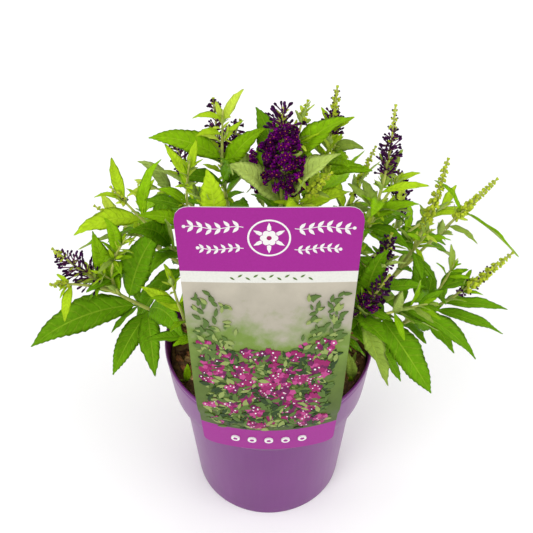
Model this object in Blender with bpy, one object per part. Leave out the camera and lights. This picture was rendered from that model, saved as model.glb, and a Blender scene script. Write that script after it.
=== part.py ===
"""A young butterfly bush in a nursery pot, with the picture card that hangs on the pot's rim.

Metres, +Z up. The origin is the centre of the pot's flat underside. The card is at the front, towards -Y.
"""

import math
import random
from collections import namedtuple

import bmesh
import bpy
from mathutils import Vector
from mathutils.bvhtree import BVHTree

# The pot
POT_HEIGHT = 0.166
RIM_RADIUS = 0.085
COLLAR_HEIGHT = 0.045
COLLAR_FOOT_RADIUS = 0.0805
BODY_TOP_RADIUS = 0.0733
BASE_RADIUS = 0.063
POT_WALL = 0.0016
POT_FLOOR = 0.0022
RIM_ROLL = 0.0024
POT_SIDES = 40
DRAIN_HOLES = 4
DRAIN_RADIUS = 0.005
DRAIN_CIRCLE = 0.040

# The soil in it
SOIL_TOP = 0.151
SOIL_BUMP = 0.0025
SOIL_FLAT_RADIUS = 0.018

# The picture card and the tongue that hooks it on the rim
CARD_TOP_WIDTH = 0.131
CARD_FOOT_WIDTH = 0.104
CARD_THICKNESS = 0.0008
CARD_DROP = 0.039
CARD_RISE = 0.195
CARD_LEAN = math.radians(12.0)
CARD_CURVE = 0.140
CARD_CORNER = 0.011
CARD_COLUMNS = 8
TONGUE_WIDTH = 0.024
TONGUE_DEPTH = 0.011

# The woody foot of the bush and its boughs
GAP = 0.0003
TRUNK_HEIGHT = 0.040
TRUNK_FLARE_RADIUS = 0.014
TRUNK_RADIUS = 0.0085
TRUNK_TIP_RADIUS = 0.0062
TRUNK_SIDES = 10
TRUNK_LEAN = Vector((0.002, 0.003, 0.0))
BOUGH_FOOT_RADIUS = 0.0027
BOUGH_TIP_RADIUS = 0.0019
BOUGH_SIDES = 5
BOUGH_STEPS = 5

# Shoots, leaves and flowers
SHOOT_TIP_RADIUS = 0.0009
SIDE_SHOOT_RADIUS = 0.0014
STEM_SIDES = 4
STEM_STEPS = 5
TWIG_SIDES = 3
LEAF_WIDTH_SHARE = 0.34
LEAF_THICKNESS_SHARE = 0.018
LEAF_FOLD_SHARE = 0.045
FIRST_NODE_SHARE = 0.16
NODE_SPACING = 0.021
SPREAD_LOW = 68.0
SPREAD_HIGH = 34.0
SMALLEST_LEAF = 0.011
CLEARANCE = 0.0006
# Where a leaf's place is taken, it turns, closes towards its stem or stays smaller: roll, spread, size
LEAF_TRIES = (
    (0.0, 1.0, 1.0), (16.0, 1.0, 1.0), (-16.0, 1.0, 1.0), (0.0, 0.75, 1.0), (0.0, 1.25, 0.95),
    (30.0, 0.9, 0.9), (-30.0, 0.9, 0.9), (0.0, 0.7, 0.72), (44.0, 1.1, 0.72), (-44.0, 1.1, 0.72),
)
AIM_TRIES = (
    (0.0, 0.0, 0.0), (0.0, 0.006, 0.005), (0.0, -0.006, -0.005), (0.004, 0.006, 0.0), (-0.004, 0.006, 0.0),
    (0.0, 0.0, 0.009), (0.0, 0.0, -0.009), (0.006, -0.009, 0.0), (-0.006, -0.009, 0.0), (0.0, 0.014, 0.012),
)
AIMED_DROOP = 0.55
FRONT = Vector((0.0, -1.0, 0.0))
DOWN = Vector((0.0, 0.0, -1.0))
UP = Vector((0.0, 0.0, 1.0))
SEED = 11

# How long each kind of flower is, how wide at its foot, and how open between its clusters
Flower = namedtuple("Flower", "radius tip_radius valley taper points rings")
FLOWERS = {
    "bloom": Flower(0.0195, 0.0050, 0.84, 0.50, 5, 5),
    "dark": Flower(0.0100, 0.0026, 0.60, 0.85, 4, 4),
    "green": Flower(0.0050, 0.0020, 0.62, 0.80, 3, 4),
    "tuft": Flower(0.0026, 0.0012, 0.75, 0.80, 2, 2),
}

# A shoot leaves the mass's stem at a share of its length, or is the stem itself where that is None.
# Its tip is a place, roll turns its first pair of leaves, leaf is its longest leaf, and the flower
# at its tip has a kind and a length. Aimed leaves leave it at a share and point at a place.
Shoot = namedtuple("Shoot", "share tip roll leaf kind length aimed", defaults=((),))

# Each mass of foliage: where its bough ends, how high that bough leaves the trunk, and its shoots
MASSES = {
    "centre": ((0.006, 0.012, 0.232), 1.00, [
        Shoot(None, (0.010, 0.050, 0.366), 5, 0.066, "bloom", 0.066, (
            (0.47, (0.039, 0.002, 0.350)), (0.44, (-0.015, 0.002, 0.344)), (0.34, (-0.003, 0.074, 0.350)))),
        Shoot(0.16, (0.045, 0.014, 0.334), 50, 0.046, "green", 0.030),
        Shoot(0.30, (0.029, 0.076, 0.350), 20, 0.040, "green", 0.018, (
            (0.50, (0.060, 0.072, 0.345)),)),
    ]),
    "top_left": ((-0.022, 0.028, 0.228), 0.74, [
        Shoot(None, (-0.034, 0.062, 0.353), 15, 0.070, "tuft", 0.012, (
            (0.92, (-0.020, 0.072, 0.366)), (0.94, (-0.057, 0.058, 0.351)), (0.84, (-0.054, 0.048, 0.343)),
            (0.68, (-0.085, 0.044, 0.348)), (0.60, (-0.007, 0.052, 0.347)), (0.46, (-0.027, 0.014, 0.351)))),
        Shoot(0.18, (-0.043, 0.100, 0.334), 60, 0.052, "dark", 0.044),
        Shoot(0.52, (-0.022, 0.082, 0.327), 30, 0.036, "dark", 0.034),
    ]),
    "left_middle": ((-0.036, 0.004, 0.218), 0.60, [
        Shoot(None, (-0.118, 0.031, 0.304), 30, 0.062, "green", 0.016, (
            (0.88, (-0.119, 0.046, 0.321)), (0.93, (-0.131, 0.024, 0.302), 0.7), (0.72, (-0.148, 0.008, 0.279)),
            (0.72, (-0.086, 0.036, 0.329)), (0.46, (-0.097, -0.010, 0.310)), (0.44, (-0.072, -0.012, 0.315)),
            (0.36, (-0.088, -0.026, 0.280)))),
        Shoot(0.12, (-0.058, 0.028, 0.334), 10, 0.056, "tuft", 0.009, (
            (0.86, (-0.077, 0.042, 0.339)), (0.88, (-0.053, 0.040, 0.344)), (0.66, (-0.078, 0.014, 0.322)),
            (0.50, (-0.094, 0.004, 0.304)))),
    ]),
    "left_low": ((-0.060, -0.002, 0.184), 0.12, [
        Shoot(None, (-0.165, 0.008, 0.262), 60, 0.050, "dark", 0.046, (
            (0.36, (-0.189, -0.022, 0.181)), (0.31, (-0.089, -0.048, 0.176)), (0.29, (-0.122, -0.040, 0.168)),
            (0.50, (-0.135, 0.016, 0.269)), (0.44, (-0.087, 0.002, 0.280)),
            (0.30, (-0.064, -0.048, 0.236)))),
        Shoot(0.50, (-0.107, -0.004, 0.284), 20, 0.032, "tuft", 0.008, (
            (0.72, (-0.116, 0.000, 0.304)), (0.62, (-0.128, -0.010, 0.270)))),
        Shoot(0.52, (-0.165, -0.014, 0.246), 80, 0.026, "green", 0.014, (
            (0.70, (-0.156, -0.030, 0.221)),)),
    ]),
    "back_right_top": ((0.026, 0.040, 0.226), 0.80, [
        Shoot(None, (0.052, 0.094, 0.350), 0, 0.058, "dark", 0.040),
        Shoot(0.34, (0.050, 0.056, 0.325), 60, 0.040, "tuft", 0.009, (
            (0.80, (0.069, 0.046, 0.336)), (0.80, (0.033, 0.052, 0.344)), (0.55, (0.057, 0.030, 0.334)))),
    ]),
    "right_high": ((0.052, 0.002, 0.236), 0.66, [
        Shoot(None, (0.091, 0.047, 0.370), 0, 0.050, "dark", 0.054, (
            (0.54, (0.118, 0.020, 0.318), 0.6), (0.50, (0.074, -0.014, 0.322)), (0.34, (0.098, -0.024, 0.292)),
            (0.40, (0.108, 0.008, 0.313)), (0.56, (0.097, 0.040, 0.336)))),
        Shoot(0.36, (0.098, 0.032, 0.314), 45, 0.044, "tuft", 0.008, (
            (0.90, (0.110, 0.026, 0.325)),)),
    ]),
    "right_middle": ((0.066, -0.004, 0.204), 0.42, [
        Shoot(None, (0.134, 0.044, 0.322), 30, 0.048, "green", 0.060),
        Shoot(0.24, (0.173, 0.042, 0.303), 10, 0.044, "green", 0.045, (
            (0.68, (0.128, 0.034, 0.312), 0.6), (0.70, (0.189, 0.004, 0.255), 0.4),
            (0.56, (0.158, 0.004, 0.272)))),
        Shoot(0.40, (0.118, -0.006, 0.296), 60, 0.042, "tuft", 0.009),
    ]),
    "right_low": ((0.060, -0.016, 0.182), 0.05, [
        Shoot(None, (0.185, 0.002, 0.264), 40, 0.050, "green", 0.054, (
            (0.50, (0.183, -0.020, 0.191)), (0.56, (0.187, -0.010, 0.210)))),
        Shoot(0.34, (0.138, -0.014, 0.268), 20, 0.050, "tuft", 0.009, (
            (0.48, (0.131, -0.034, 0.250)), (0.40, (0.110, -0.042, 0.262)),
            (0.62, (0.148, -0.010, 0.262)))),
    ]),
    "front_right": ((0.040, -0.032, 0.196), 0.35, [
        Shoot(None, (0.089, -0.014, 0.300), 70, 0.050, "dark", 0.032, (
            (0.50, (0.080, -0.030, 0.300)),)),
        Shoot(0.16, (0.087, -0.038, 0.282), 10, 0.044, "dark", 0.044),
        Shoot(0.24, (0.116, -0.048, 0.262), 20, 0.040, "tuft", 0.009, (
            (0.46, (0.119, -0.073, 0.188)), (0.72, (0.155, -0.048, 0.196)))),
    ]),
    "front": ((-0.010, -0.032, 0.212), 0.66, [
        Shoot(None, (-0.043, -0.012, 0.336), 30, 0.056, "tuft", 0.010, (
            (0.80, (-0.042, -0.004, 0.353), 1.3),)),
        Shoot(0.24, (0.012, -0.026, 0.322), 0, 0.054, "tuft", 0.009),
    ]),
    "front_left": ((-0.036, -0.034, 0.186), 0.18, [
        Shoot(None, (-0.072, -0.034, 0.276), 10, 0.046, "tuft", 0.009, (
            (0.66, (-0.096, -0.024, 0.256)), (0.50, (-0.105, -0.018, 0.252)), (0.36, (-0.070, -0.060, 0.232)))),
    ]),
    "left_back": ((-0.052, 0.034, 0.198), 0.34, [
        Shoot(None, (-0.142, 0.078, 0.240), 20, 0.076, "green", 0.026),
        Shoot(0.40, (-0.106, 0.092, 0.244), 60, 0.052, "tuft", 0.009),
    ]),
    "back_left": ((-0.030, 0.056, 0.184), 0.10, [
        Shoot(None, (-0.082, 0.156, 0.246), 50, 0.084, "dark", 0.044),
        Shoot(0.40, (-0.108, 0.124, 0.222), 10, 0.056, "tuft", 0.009),
    ]),
    "back": ((0.000, 0.060, 0.206), 0.50, [
        Shoot(None, (0.008, 0.136, 0.292), 15, 0.074, "bloom", 0.056),
        Shoot(0.40, (-0.030, 0.150, 0.228), 70, 0.052, "green", 0.016),
    ]),
    "back_right": ((0.034, 0.054, 0.184), 0.08, [
        Shoot(None, (0.092, 0.150, 0.242), 30, 0.086, "green", 0.048),
        Shoot(0.40, (0.054, 0.160, 0.222), 60, 0.052, "tuft", 0.009),
    ]),
    "right_back": ((0.058, 0.032, 0.202), 0.32, [
        Shoot(None, (0.150, 0.088, 0.234), 55, 0.072, "tuft", 0.010),
        Shoot(0.40, (0.108, 0.112, 0.248), 15, 0.052, "dark", 0.036),
    ]),
}


def clear_scene():
    for obj in list(bpy.data.objects):
        bpy.data.objects.remove(obj)


def finish_of(name, colour, roughness):
    material = bpy.data.materials.new(name)
    material.use_nodes = True
    shader = material.node_tree.nodes["Principled BSDF"]
    shader.inputs["Base Color"].default_value = (*colour, 1.0)
    shader.inputs["Roughness"].default_value = roughness
    shader.inputs["Metallic"].default_value = 0.0
    return material


def object_of(name, points, faces, material=None):
    mesh = bpy.data.meshes.new(name)
    mesh.from_pydata([tuple(p) for p in points], [], faces)
    mesh.update()
    obj = bpy.data.objects.new(name, mesh)
    bpy.context.scene.collection.objects.link(obj)
    if material:
        mesh.materials.append(material)
    return obj


def apply_modifiers(obj):
    """The object's evaluated mesh becomes its own."""
    graph = bpy.context.evaluated_depsgraph_get()
    mesh = bpy.data.meshes.new_from_object(obj.evaluated_get(graph))
    obj.modifiers.clear()
    obj.data = mesh


def smooth(obj, angle_deg=40.0):
    obj.data.shade_smooth()
    obj.data.set_sharp_from_angle(angle=math.radians(angle_deg))


def turned(profile, sides):
    """Points and faces of a closed solid of revolution. Its profile runs from axis to axis, outside first."""
    points = []
    faces = []
    rings = []
    for radius, height in profile:
        if radius == 0.0:
            rings.append([len(points)])
            points.append(Vector((0.0, 0.0, height)))
            continue
        rings.append(range(len(points), len(points) + sides))
        for k in range(sides):
            turn = math.tau * k / sides
            points.append(Vector((radius * math.cos(turn), radius * math.sin(turn), height)))
    for low, high in zip(rings, rings[1:]):
        for k in range(sides):
            n = (k + 1) % sides
            if len(low) == 1:
                faces.append((low[0], high[n], high[k]))
            elif len(high) == 1:
                faces.append((low[k], low[n], high[0]))
            else:
                faces.append((low[k], low[n], high[n], high[k]))
    return points, faces


def wall_radius(height):
    """The pot's outer radius at a height."""
    foot = POT_HEIGHT - COLLAR_HEIGHT
    if height >= foot:
        return COLLAR_FOOT_RADIUS + (RIM_RADIUS - COLLAR_FOOT_RADIUS) * (height - foot) / COLLAR_HEIGHT
    return BASE_RADIUS + (BODY_TOP_RADIUS - BASE_RADIUS) * height / foot


def make_pot(material):
    foot = POT_HEIGHT - COLLAR_HEIGHT
    ledge = foot + POT_WALL
    profile = [
        (0.0, 0.0),
        (BASE_RADIUS, 0.0),
        (BODY_TOP_RADIUS, foot),
        (COLLAR_FOOT_RADIUS, foot),
        (RIM_RADIUS - RIM_ROLL * 0.2, POT_HEIGHT - RIM_ROLL),
        (RIM_RADIUS, POT_HEIGHT - RIM_ROLL * 0.5),
        (RIM_RADIUS - RIM_ROLL * 0.3, POT_HEIGHT),
        (RIM_RADIUS - RIM_ROLL, POT_HEIGHT),
        (COLLAR_FOOT_RADIUS - POT_WALL, ledge),
        (BODY_TOP_RADIUS - POT_WALL, ledge),
        (BASE_RADIUS - POT_WALL, POT_FLOOR),
        (0.0, POT_FLOOR),
    ]
    pot = object_of("pot", *turned(profile, POT_SIDES), material)
    for k in range(DRAIN_HOLES):
        turn = math.tau * (k + 0.5) / DRAIN_HOLES
        cutter = object_of("drain_cutter", *turned([
            (0.0, -POT_FLOOR),
            (DRAIN_RADIUS, -POT_FLOOR),
            (DRAIN_RADIUS, 2.0 * POT_FLOOR),
            (0.0, 2.0 * POT_FLOOR),
        ], 10))
        cutter.location = (DRAIN_CIRCLE * math.cos(turn), DRAIN_CIRCLE * math.sin(turn), 0.0)
        cut = pot.modifiers.new("drain", "BOOLEAN")
        cut.operation = "DIFFERENCE"
        cut.object = cutter
        bpy.context.view_layer.update()
        apply_modifiers(pot)
        bpy.data.objects.remove(cutter)
    smooth(pot)
    return pot


def soil_height(x, y):
    """The lumpy top of the soil, flat round the trunk."""
    away = min(1.0, max(0.0, (math.hypot(x, y) - SOIL_FLAT_RADIUS) / SOIL_FLAT_RADIUS))
    lumps = math.sin(x * 210.0 + 1.0) * math.cos(y * 180.0) + 0.6 * math.sin((x - y) * 330.0)
    return SOIL_TOP + SOIL_BUMP * lumps * away


def make_soil(material):
    """The root ball fills the pot up to its lumpy top, a gap inside the wall."""
    foot = POT_HEIGHT - COLLAR_HEIGHT
    inside = POT_WALL + GAP * 1.4
    top_radius = wall_radius(SOIL_TOP) - inside - RIM_ROLL * 0.4
    profile = [
        (0.0, POT_FLOOR + GAP),
        (BASE_RADIUS - inside, POT_FLOOR + GAP),
        (BODY_TOP_RADIUS - inside, foot),
        (BODY_TOP_RADIUS - inside, foot + POT_WALL + GAP),
        (COLLAR_FOOT_RADIUS - inside, foot + POT_WALL + GAP),
        (top_radius, SOIL_TOP - SOIL_BUMP),
        (top_radius * 0.80, SOIL_TOP),
        (top_radius * 0.58, SOIL_TOP),
        (top_radius * 0.38, SOIL_TOP),
        (SOIL_FLAT_RADIUS, SOIL_TOP),
        (0.0, SOIL_TOP),
    ]
    points, faces = turned(profile, 30)
    for point in points:
        if point.z == SOIL_TOP:
            point.z = soil_height(point.x, point.y)
    soil = object_of("root_ball", points, faces, material)
    smooth(soil, 60.0)
    return soil


def card_place(across, along):
    """A point of the card's back face. across runs from -1 to 1, and along from its foot to its top.

    The foot wraps the collar, and above the rim the card flattens and leans back.
    """
    length = CARD_DROP + CARD_RISE
    rise = along * length - CARD_DROP
    width = CARD_FOOT_WIDTH + (CARD_TOP_WIDTH - CARD_FOOT_WIDTH) * along
    if rise <= 0.0:
        height = POT_HEIGHT + rise
        front = wall_radius(height)
    else:
        height = POT_HEIGHT + rise * math.cos(CARD_LEAN)
        front = RIM_RADIUS - rise * math.sin(CARD_LEAN)
    front += 1.5 * GAP
    unwrap = max(0.0, rise) / CARD_RISE
    curve = CARD_CURVE * (1.0 + 16.0 * unwrap)
    turn = across * 0.5 * width / curve
    return Vector((curve * math.sin(turn), -front + curve * (1.0 - math.cos(turn)), height))


def card_outline_share(along):
    """How far the card reaches across at this share of its length: less inside its round top corners."""
    length = CARD_DROP + CARD_RISE
    from_end = min(along * 2.2, 1.0 - along) * length
    if from_end >= CARD_CORNER:
        return 1.0
    inset = CARD_CORNER - math.sqrt(CARD_CORNER**2 - (CARD_CORNER - from_end) ** 2)
    return 1.0 - 2.0 * inset / CARD_TOP_WIDTH


def card_rows():
    length = CARD_DROP + CARD_RISE
    rim = CARD_DROP / length
    corner = CARD_CORNER / length
    rows = [0.0, corner * 0.2, corner * 0.5, rim * 0.5, rim]
    rows += [rim + (1.0 - corner - rim) * k / 5 for k in range(1, 6)]
    rows += [1.0 - corner * k for k in (0.55, 0.25, 0.07, 0.0)]
    return rows


def make_card(material):
    rows = card_rows()
    columns = CARD_COLUMNS + 1
    backs = []
    for along in rows:
        reach = card_outline_share(along)
        for k in range(columns):
            backs.append(card_place(reach * (2.0 * k / CARD_COLUMNS - 1.0), along))
    fronts = []
    for index, point in enumerate(backs):
        row, column = divmod(index, columns)
        right = backs[row * columns + min(column + 1, CARD_COLUMNS)]
        left = backs[row * columns + max(column - 1, 0)]
        above = backs[min(row + 1, len(rows) - 1) * columns + column]
        below = backs[max(row - 1, 0) * columns + column]
        outward = (right - left).cross(above - below).normalized()
        fronts.append(point + outward * CARD_THICKNESS)
    points = backs + fronts
    offset = len(backs)
    faces = []
    for row in range(len(rows) - 1):
        for column in range(CARD_COLUMNS):
            a = row * columns + column
            b, c, d = a + 1, a + 1 + columns, a + columns
            faces.append((d, c, b, a))
            faces.append((a + offset, b + offset, c + offset, d + offset))
    for column in range(CARD_COLUMNS):
        low = column
        faces.append((low, low + 1, low + 1 + offset, low + offset))
        high = (len(rows) - 1) * columns + column
        faces.append((high + 1, high, high + offset, high + 1 + offset))
    for row in range(len(rows) - 1):
        left, above = row * columns, (row + 1) * columns
        faces.append((above, left, left + offset, above + offset))
        right, over = left + CARD_COLUMNS, above + CARD_COLUMNS
        faces.append((right, over, over + offset, right + offset))
    card = object_of("label_card", points, faces, material)
    tongue = make_tongue()
    join = card.modifiers.new("tongue", "BOOLEAN")
    join.operation = "UNION"
    join.object = tongue
    bpy.context.view_layer.update()
    apply_modifiers(card)
    bpy.data.objects.remove(tongue)
    return card


def make_tongue():
    """A strip bent over the rim: out of the card's back, across the rim and down inside the wall."""
    half = TONGUE_WIDTH * 0.5
    over = POT_HEIGHT + 1.2 * GAP
    outer = RIM_RADIUS + 1.5 * GAP + CARD_THICKNESS * 0.5
    inner = math.sqrt((RIM_RADIUS - RIM_ROLL) ** 2 - half**2) - 2.0 * GAP
    low = POT_HEIGHT - TONGUE_DEPTH
    slope = (RIM_RADIUS - COLLAR_FOOT_RADIUS) / COLLAR_HEIGHT
    thick = CARD_THICKNESS
    section = [
        (-outer, over),
        (-inner, over),
        (-inner + TONGUE_DEPTH * slope, low),
        (-inner + TONGUE_DEPTH * slope + thick, low),
        (-inner + thick, over + thick),
        (-outer, over + thick),
    ]
    points = [Vector((side, y, z)) for side in (-half, half) for y, z in section]
    count = len(section)
    faces = [tuple(range(count)), tuple(range(2 * count - 1, count - 1, -1))]
    for k in range(count):
        n = (k + 1) % count
        faces.append((n, k, k + count, n + count))
    tongue = object_of("tongue", points, faces)
    straighten_normals(tongue)
    return tongue


def straighten_normals(obj):
    edit = bmesh.new()
    edit.from_mesh(obj.data)
    bmesh.ops.recalc_face_normals(edit, faces=edit.faces)
    edit.to_mesh(obj.data)
    edit.free()


def keep_outer_shell(obj):
    """Drops sealed hollows and loose scraps, which a union of many thin pieces can leave."""
    edit = bmesh.new()
    edit.from_mesh(obj.data)
    bmesh.ops.triangulate(edit, faces=edit.faces)
    edit.faces.index_update()
    edit.faces.ensure_lookup_table()
    shell_of = [None] * len(edit.faces)
    sizes = []
    for first in edit.faces:
        if shell_of[first.index] is not None:
            continue
        shell_of[first.index] = len(sizes)
        queue = [first]
        size = 0
        while queue:
            size += 1
            for edge in queue.pop().edges:
                for face in edge.link_faces:
                    if len(edge.link_faces) == 2 and shell_of[face.index] is None:
                        shell_of[face.index] = len(sizes)
                        queue.append(face)
        sizes.append(size)
    largest = sizes.index(max(sizes))
    scraps = [face for face in edit.faces if shell_of[face.index] != largest]
    bmesh.ops.delete(edit, geom=scraps, context="FACES")
    edit.to_mesh(obj.data)
    edit.free()


def bend(start, control, end, steps):
    """Points along a quadratic curve."""
    found = []
    for k in range(steps + 1):
        t = k / steps
        found.append(start * (1 - t) ** 2 + control * (2 * t * (1 - t)) + end * t**2)
    return found


def along(path, share):
    """The place and direction at a share of a path's length."""
    spans = [(b - a).length for a, b in zip(path, path[1:])]
    left = share * sum(spans)
    for (a, b), span in zip(zip(path, path[1:]), spans):
        if left <= span:
            return a.lerp(b, left / span), (b - a).normalized()
        left -= span
    return path[-1].copy(), (path[-1] - path[-2]).normalized()


def side_of(axis):
    """A level direction square to an axis, or +X to a plumb one."""
    level = axis.cross(UP)
    if level.length < 0.25:
        level = Vector((1.0, 0.0, 0.0))
    return (level - axis * level.dot(axis)).normalized()


def tube(path, radius_of, sides, phase=0.0):
    """Points and faces of a tapering tube with flat ends, square to the path."""
    points = []
    faces = []
    side = side_of((path[-1] - path[0]).normalized())
    last = len(path) - 1
    for k, centre in enumerate(path):
        before, after = path[max(k - 1, 0)], path[min(k + 1, last)]
        axis = (after - before).normalized()
        side = (side - axis * side.dot(axis)).normalized()
        other = axis.cross(side)
        for j in range(sides):
            turn = math.tau * (j + phase) / sides
            radius = radius_of(k / last, j)
            points.append(centre + (side * math.cos(turn) + other * math.sin(turn)) * radius)
    for k in range(last):
        for j in range(sides):
            n = (j + 1) % sides
            a, b = k * sides + j, k * sides + n
            faces.append((a, b, b + sides, a + sides))
    faces.append(tuple(range(sides - 1, -1, -1)))
    faces.append(tuple(range(last * sides, (last + 1) * sides)))
    return points, faces


def make_trunk(material):
    """The woody foot: a short stump with a root flare, cut flat at the soil."""
    base = Vector((0.0, 0.0, SOIL_TOP + GAP))
    rises = (0.0, 0.10, 0.28, 0.62, 0.92, 1.0)
    radii = (TRUNK_FLARE_RADIUS, TRUNK_FLARE_RADIUS * 0.82, TRUNK_RADIUS * 1.12, TRUNK_RADIUS,
             TRUNK_TIP_RADIUS, TRUNK_TIP_RADIUS * 0.6)
    points = []
    for rise, radius in zip(rises, radii):
        centre = base + UP * (TRUNK_HEIGHT * rise) + TRUNK_LEAN * rise
        for j in range(TRUNK_SIDES):
            turn = math.tau * j / TRUNK_SIDES
            rib = 1.0 + (0.14 * (1.0 - rise) if j % 2 else 0.0)
            points.append(centre + Vector((math.cos(turn), math.sin(turn), 0.0)) * radius * rib)
    faces = []
    for k in range(len(rises) - 1):
        for j in range(TRUNK_SIDES):
            a, b = k * TRUNK_SIDES + j, k * TRUNK_SIDES + (j + 1) % TRUNK_SIDES
            faces.append((a, b, b + TRUNK_SIDES, a + TRUNK_SIDES))
    faces.append(tuple(range(TRUNK_SIDES - 1, -1, -1)))
    top = (len(rises) - 1) * TRUNK_SIDES
    faces.append(tuple(range(top, top + TRUNK_SIDES)))
    trunk = object_of("main_stem", points, faces, material)
    smooth(trunk, 50.0)
    return trunk


def bough_path(fork, rise):
    """A bough's curve, from inside the trunk to where its mass begins."""
    foot = Vector((0.0, 0.0, SOIL_TOP + TRUNK_HEIGHT * (0.16 + 0.70 * rise))) + TRUNK_LEAN * rise
    fork = Vector(fork)
    reach = (fork - foot).length
    control = foot.lerp(fork, 0.45) + UP * reach * 0.10
    return bend(foot, control, fork, BOUGH_STEPS)


def make_bough(name, path, trunk, material):
    """One tapering limb, its foot coped to the trunk a gap clear."""
    def radius_of(share, _):
        return BOUGH_FOOT_RADIUS + (BOUGH_TIP_RADIUS - BOUGH_FOOT_RADIUS) * share

    bough = object_of(name, *tube(path, radius_of, BOUGH_SIDES), material)
    cutter = object_of("trunk_cutter", [v.co.copy() for v in trunk.data.vertices],
                       [tuple(p.vertices) for p in trunk.data.polygons])
    for vertex in cutter.data.vertices:
        out = Vector((vertex.co.x, vertex.co.y, 0.0)) - TRUNK_LEAN * 0.5
        vertex.co += out.normalized() * GAP
    top = max(v.co.z for v in cutter.data.vertices)
    for vertex in cutter.data.vertices:
        if vertex.co.z > top - GAP:
            vertex.co.z += GAP
    cut = bough.modifiers.new("cope", "BOOLEAN")
    cut.operation = "DIFFERENCE"
    cut.object = cutter
    bpy.context.view_layer.update()
    apply_modifiers(bough)
    bpy.data.objects.remove(cutter)
    smooth(bough, 50.0)
    return bough


def shoot_path(start, direction, tip):
    reach = (tip - start).length
    towards = (tip - start).normalized()
    control = start + (direction * 0.6 + towards * 0.4) * reach * 0.45
    return bend(start, control, tip, 6)


def leaf_solid(place, direction, normal, length, droop, grow=0.0, broad=1.0):
    """A closed blade: folded along its rib, pointed at both ends, arching down by its own weight."""
    half = 0.5 * LEAF_WIDTH_SHARE * length * broad
    thick = 0.5 * LEAF_THICKNESS_SHARE * length + grow
    fold = LEAF_FOLD_SHARE * length
    if length > 0.072:
        stations = ((0.18, 0.66), (0.42, 1.0), (0.74, 0.62))
    elif length > 0.030:
        stations = ((0.30, 0.94), (0.68, 0.74))
    else:
        stations = ((0.42, 1.0),)
    level = direction.cross(normal).normalized()
    points = [place.copy()]
    at = place.copy()
    before = 0.0
    for share, width in (*stations, (1.0, 0.0)):
        middle = 0.5 * (share + before)
        heading = (direction + DOWN * droop * middle).normalized()
        at = at + heading * (share - before) * length
        before = share
        if width == 0.0:
            points.append(at + heading * grow)
            continue
        heading = (direction + DOWN * droop * share).normalized()
        over = level.cross(heading).normalized()
        wide = level * (half * width + grow)
        lift = over * fold * width
        points += [at + wide + lift, at + over * thick, at - wide + lift, at - over * thick]
    faces = [(0, 1 + n, 1 + (n + 1) % 4) for n in range(4)]
    for k in range(len(stations) - 1):
        low, high = 1 + 4 * k, 5 + 4 * k
        for n in range(4):
            m = (n + 1) % 4
            faces.append((low + n, high + n, high + m, low + m))
    last, tip = 1 + 4 * (len(stations) - 1), len(points) - 1
    faces += [(last + n, tip, last + (n + 1) % 4) for n in range(4)]
    return points, faces


def flower_solid(path, kind, length):
    """A spike round the end of a shoot: rings of clusters, each turned half a step from the last."""
    flower = FLOWERS[kind]
    total = sum((b - a).length for a, b in zip(path, path[1:]))
    first = max(0.05, 1.0 - length / total)
    spine = [along(path, first + (1.0 - first) * k / flower.rings)[0] for k in range(flower.rings + 1)]
    sides = 2 * flower.points

    def radius_of(share, j):
        ring = round(share * flower.rings)
        if ring == 0:
            return flower.tip_radius * 0.8
        if ring == flower.rings:
            return flower.tip_radius * 0.35
        swell = min(1.0, 0.55 + share * 4.0) * (1.0 - share) ** flower.taper
        radius = flower.tip_radius + (flower.radius - flower.tip_radius) * swell
        return radius * (1.0 if (j + ring) % 2 else flower.valley)

    return tube(spine, radius_of, sides)


def leaves_of(path, shoot, rng):
    """The seeded rule: opposite pairs, each a quarter turn from the last, smaller and steeper to the tip."""
    total = sum((b - a).length for a, b in zip(path, path[1:]))
    free = max(0.25, 1.0 - 0.92 * shoot.length / total)
    first = FIRST_NODE_SHARE if shoot.share is None else FIRST_NODE_SHARE * 1.6
    nodes = max(2, round((free - first) * total / NODE_SPACING) + 1)
    side = side_of((path[-1] - path[0]).normalized())
    for k in range(nodes):
        share = first + (free - first) * (k / (nodes - 1)) ** 0.85
        place, axis = along(path, share)
        side = (side - axis * side.dot(axis)).normalized()
        other = axis.cross(side)
        ripe = k / (nodes - 1)
        size = shoot.leaf * (1.0 - 0.58 * ripe**1.4)
        spread = math.radians(SPREAD_LOW + (SPREAD_HIGH - SPREAD_LOW) * ripe)
        for half_turn in (0.0, 180.0):
            roll = shoot.roll + 90.0 * k + half_turn + rng.uniform(-14.0, 14.0)
            yield {
                "place": place,
                "axis": axis,
                "side": side,
                "other": other,
                "roll": roll,
                "spread": spread * rng.uniform(0.88, 1.12),
                "length": max(SMALLEST_LEAF, size * rng.uniform(0.84, 1.10)),
                "droop": rng.uniform(0.55, 1.15) * (0.35 + 11.0 * size),
                "twist": rng.uniform(-0.35, 0.35),
                "node": k,
            }


def normal_of(direction, lean):
    """The way a blade's upper side looks: as near to lean as its direction lets it."""
    return (lean - direction * lean.dot(direction)).normalized()


def leaf_of(leaf, roll, spread, size, grow=0.0):
    turn = math.radians(leaf["roll"] + roll)
    opening = leaf["spread"] * spread
    out = leaf["side"] * math.cos(turn) + leaf["other"] * math.sin(turn)
    direction = (leaf["axis"] * math.cos(opening) + out * math.sin(opening)).normalized()
    normal = normal_of(direction, UP * 0.8 + leaf["axis"] * 0.5)
    normal = (normal + direction.cross(normal) * leaf["twist"]).normalized()
    return leaf_solid(leaf["place"], direction, normal, leaf["length"] * size, leaf["droop"], grow)


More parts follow.
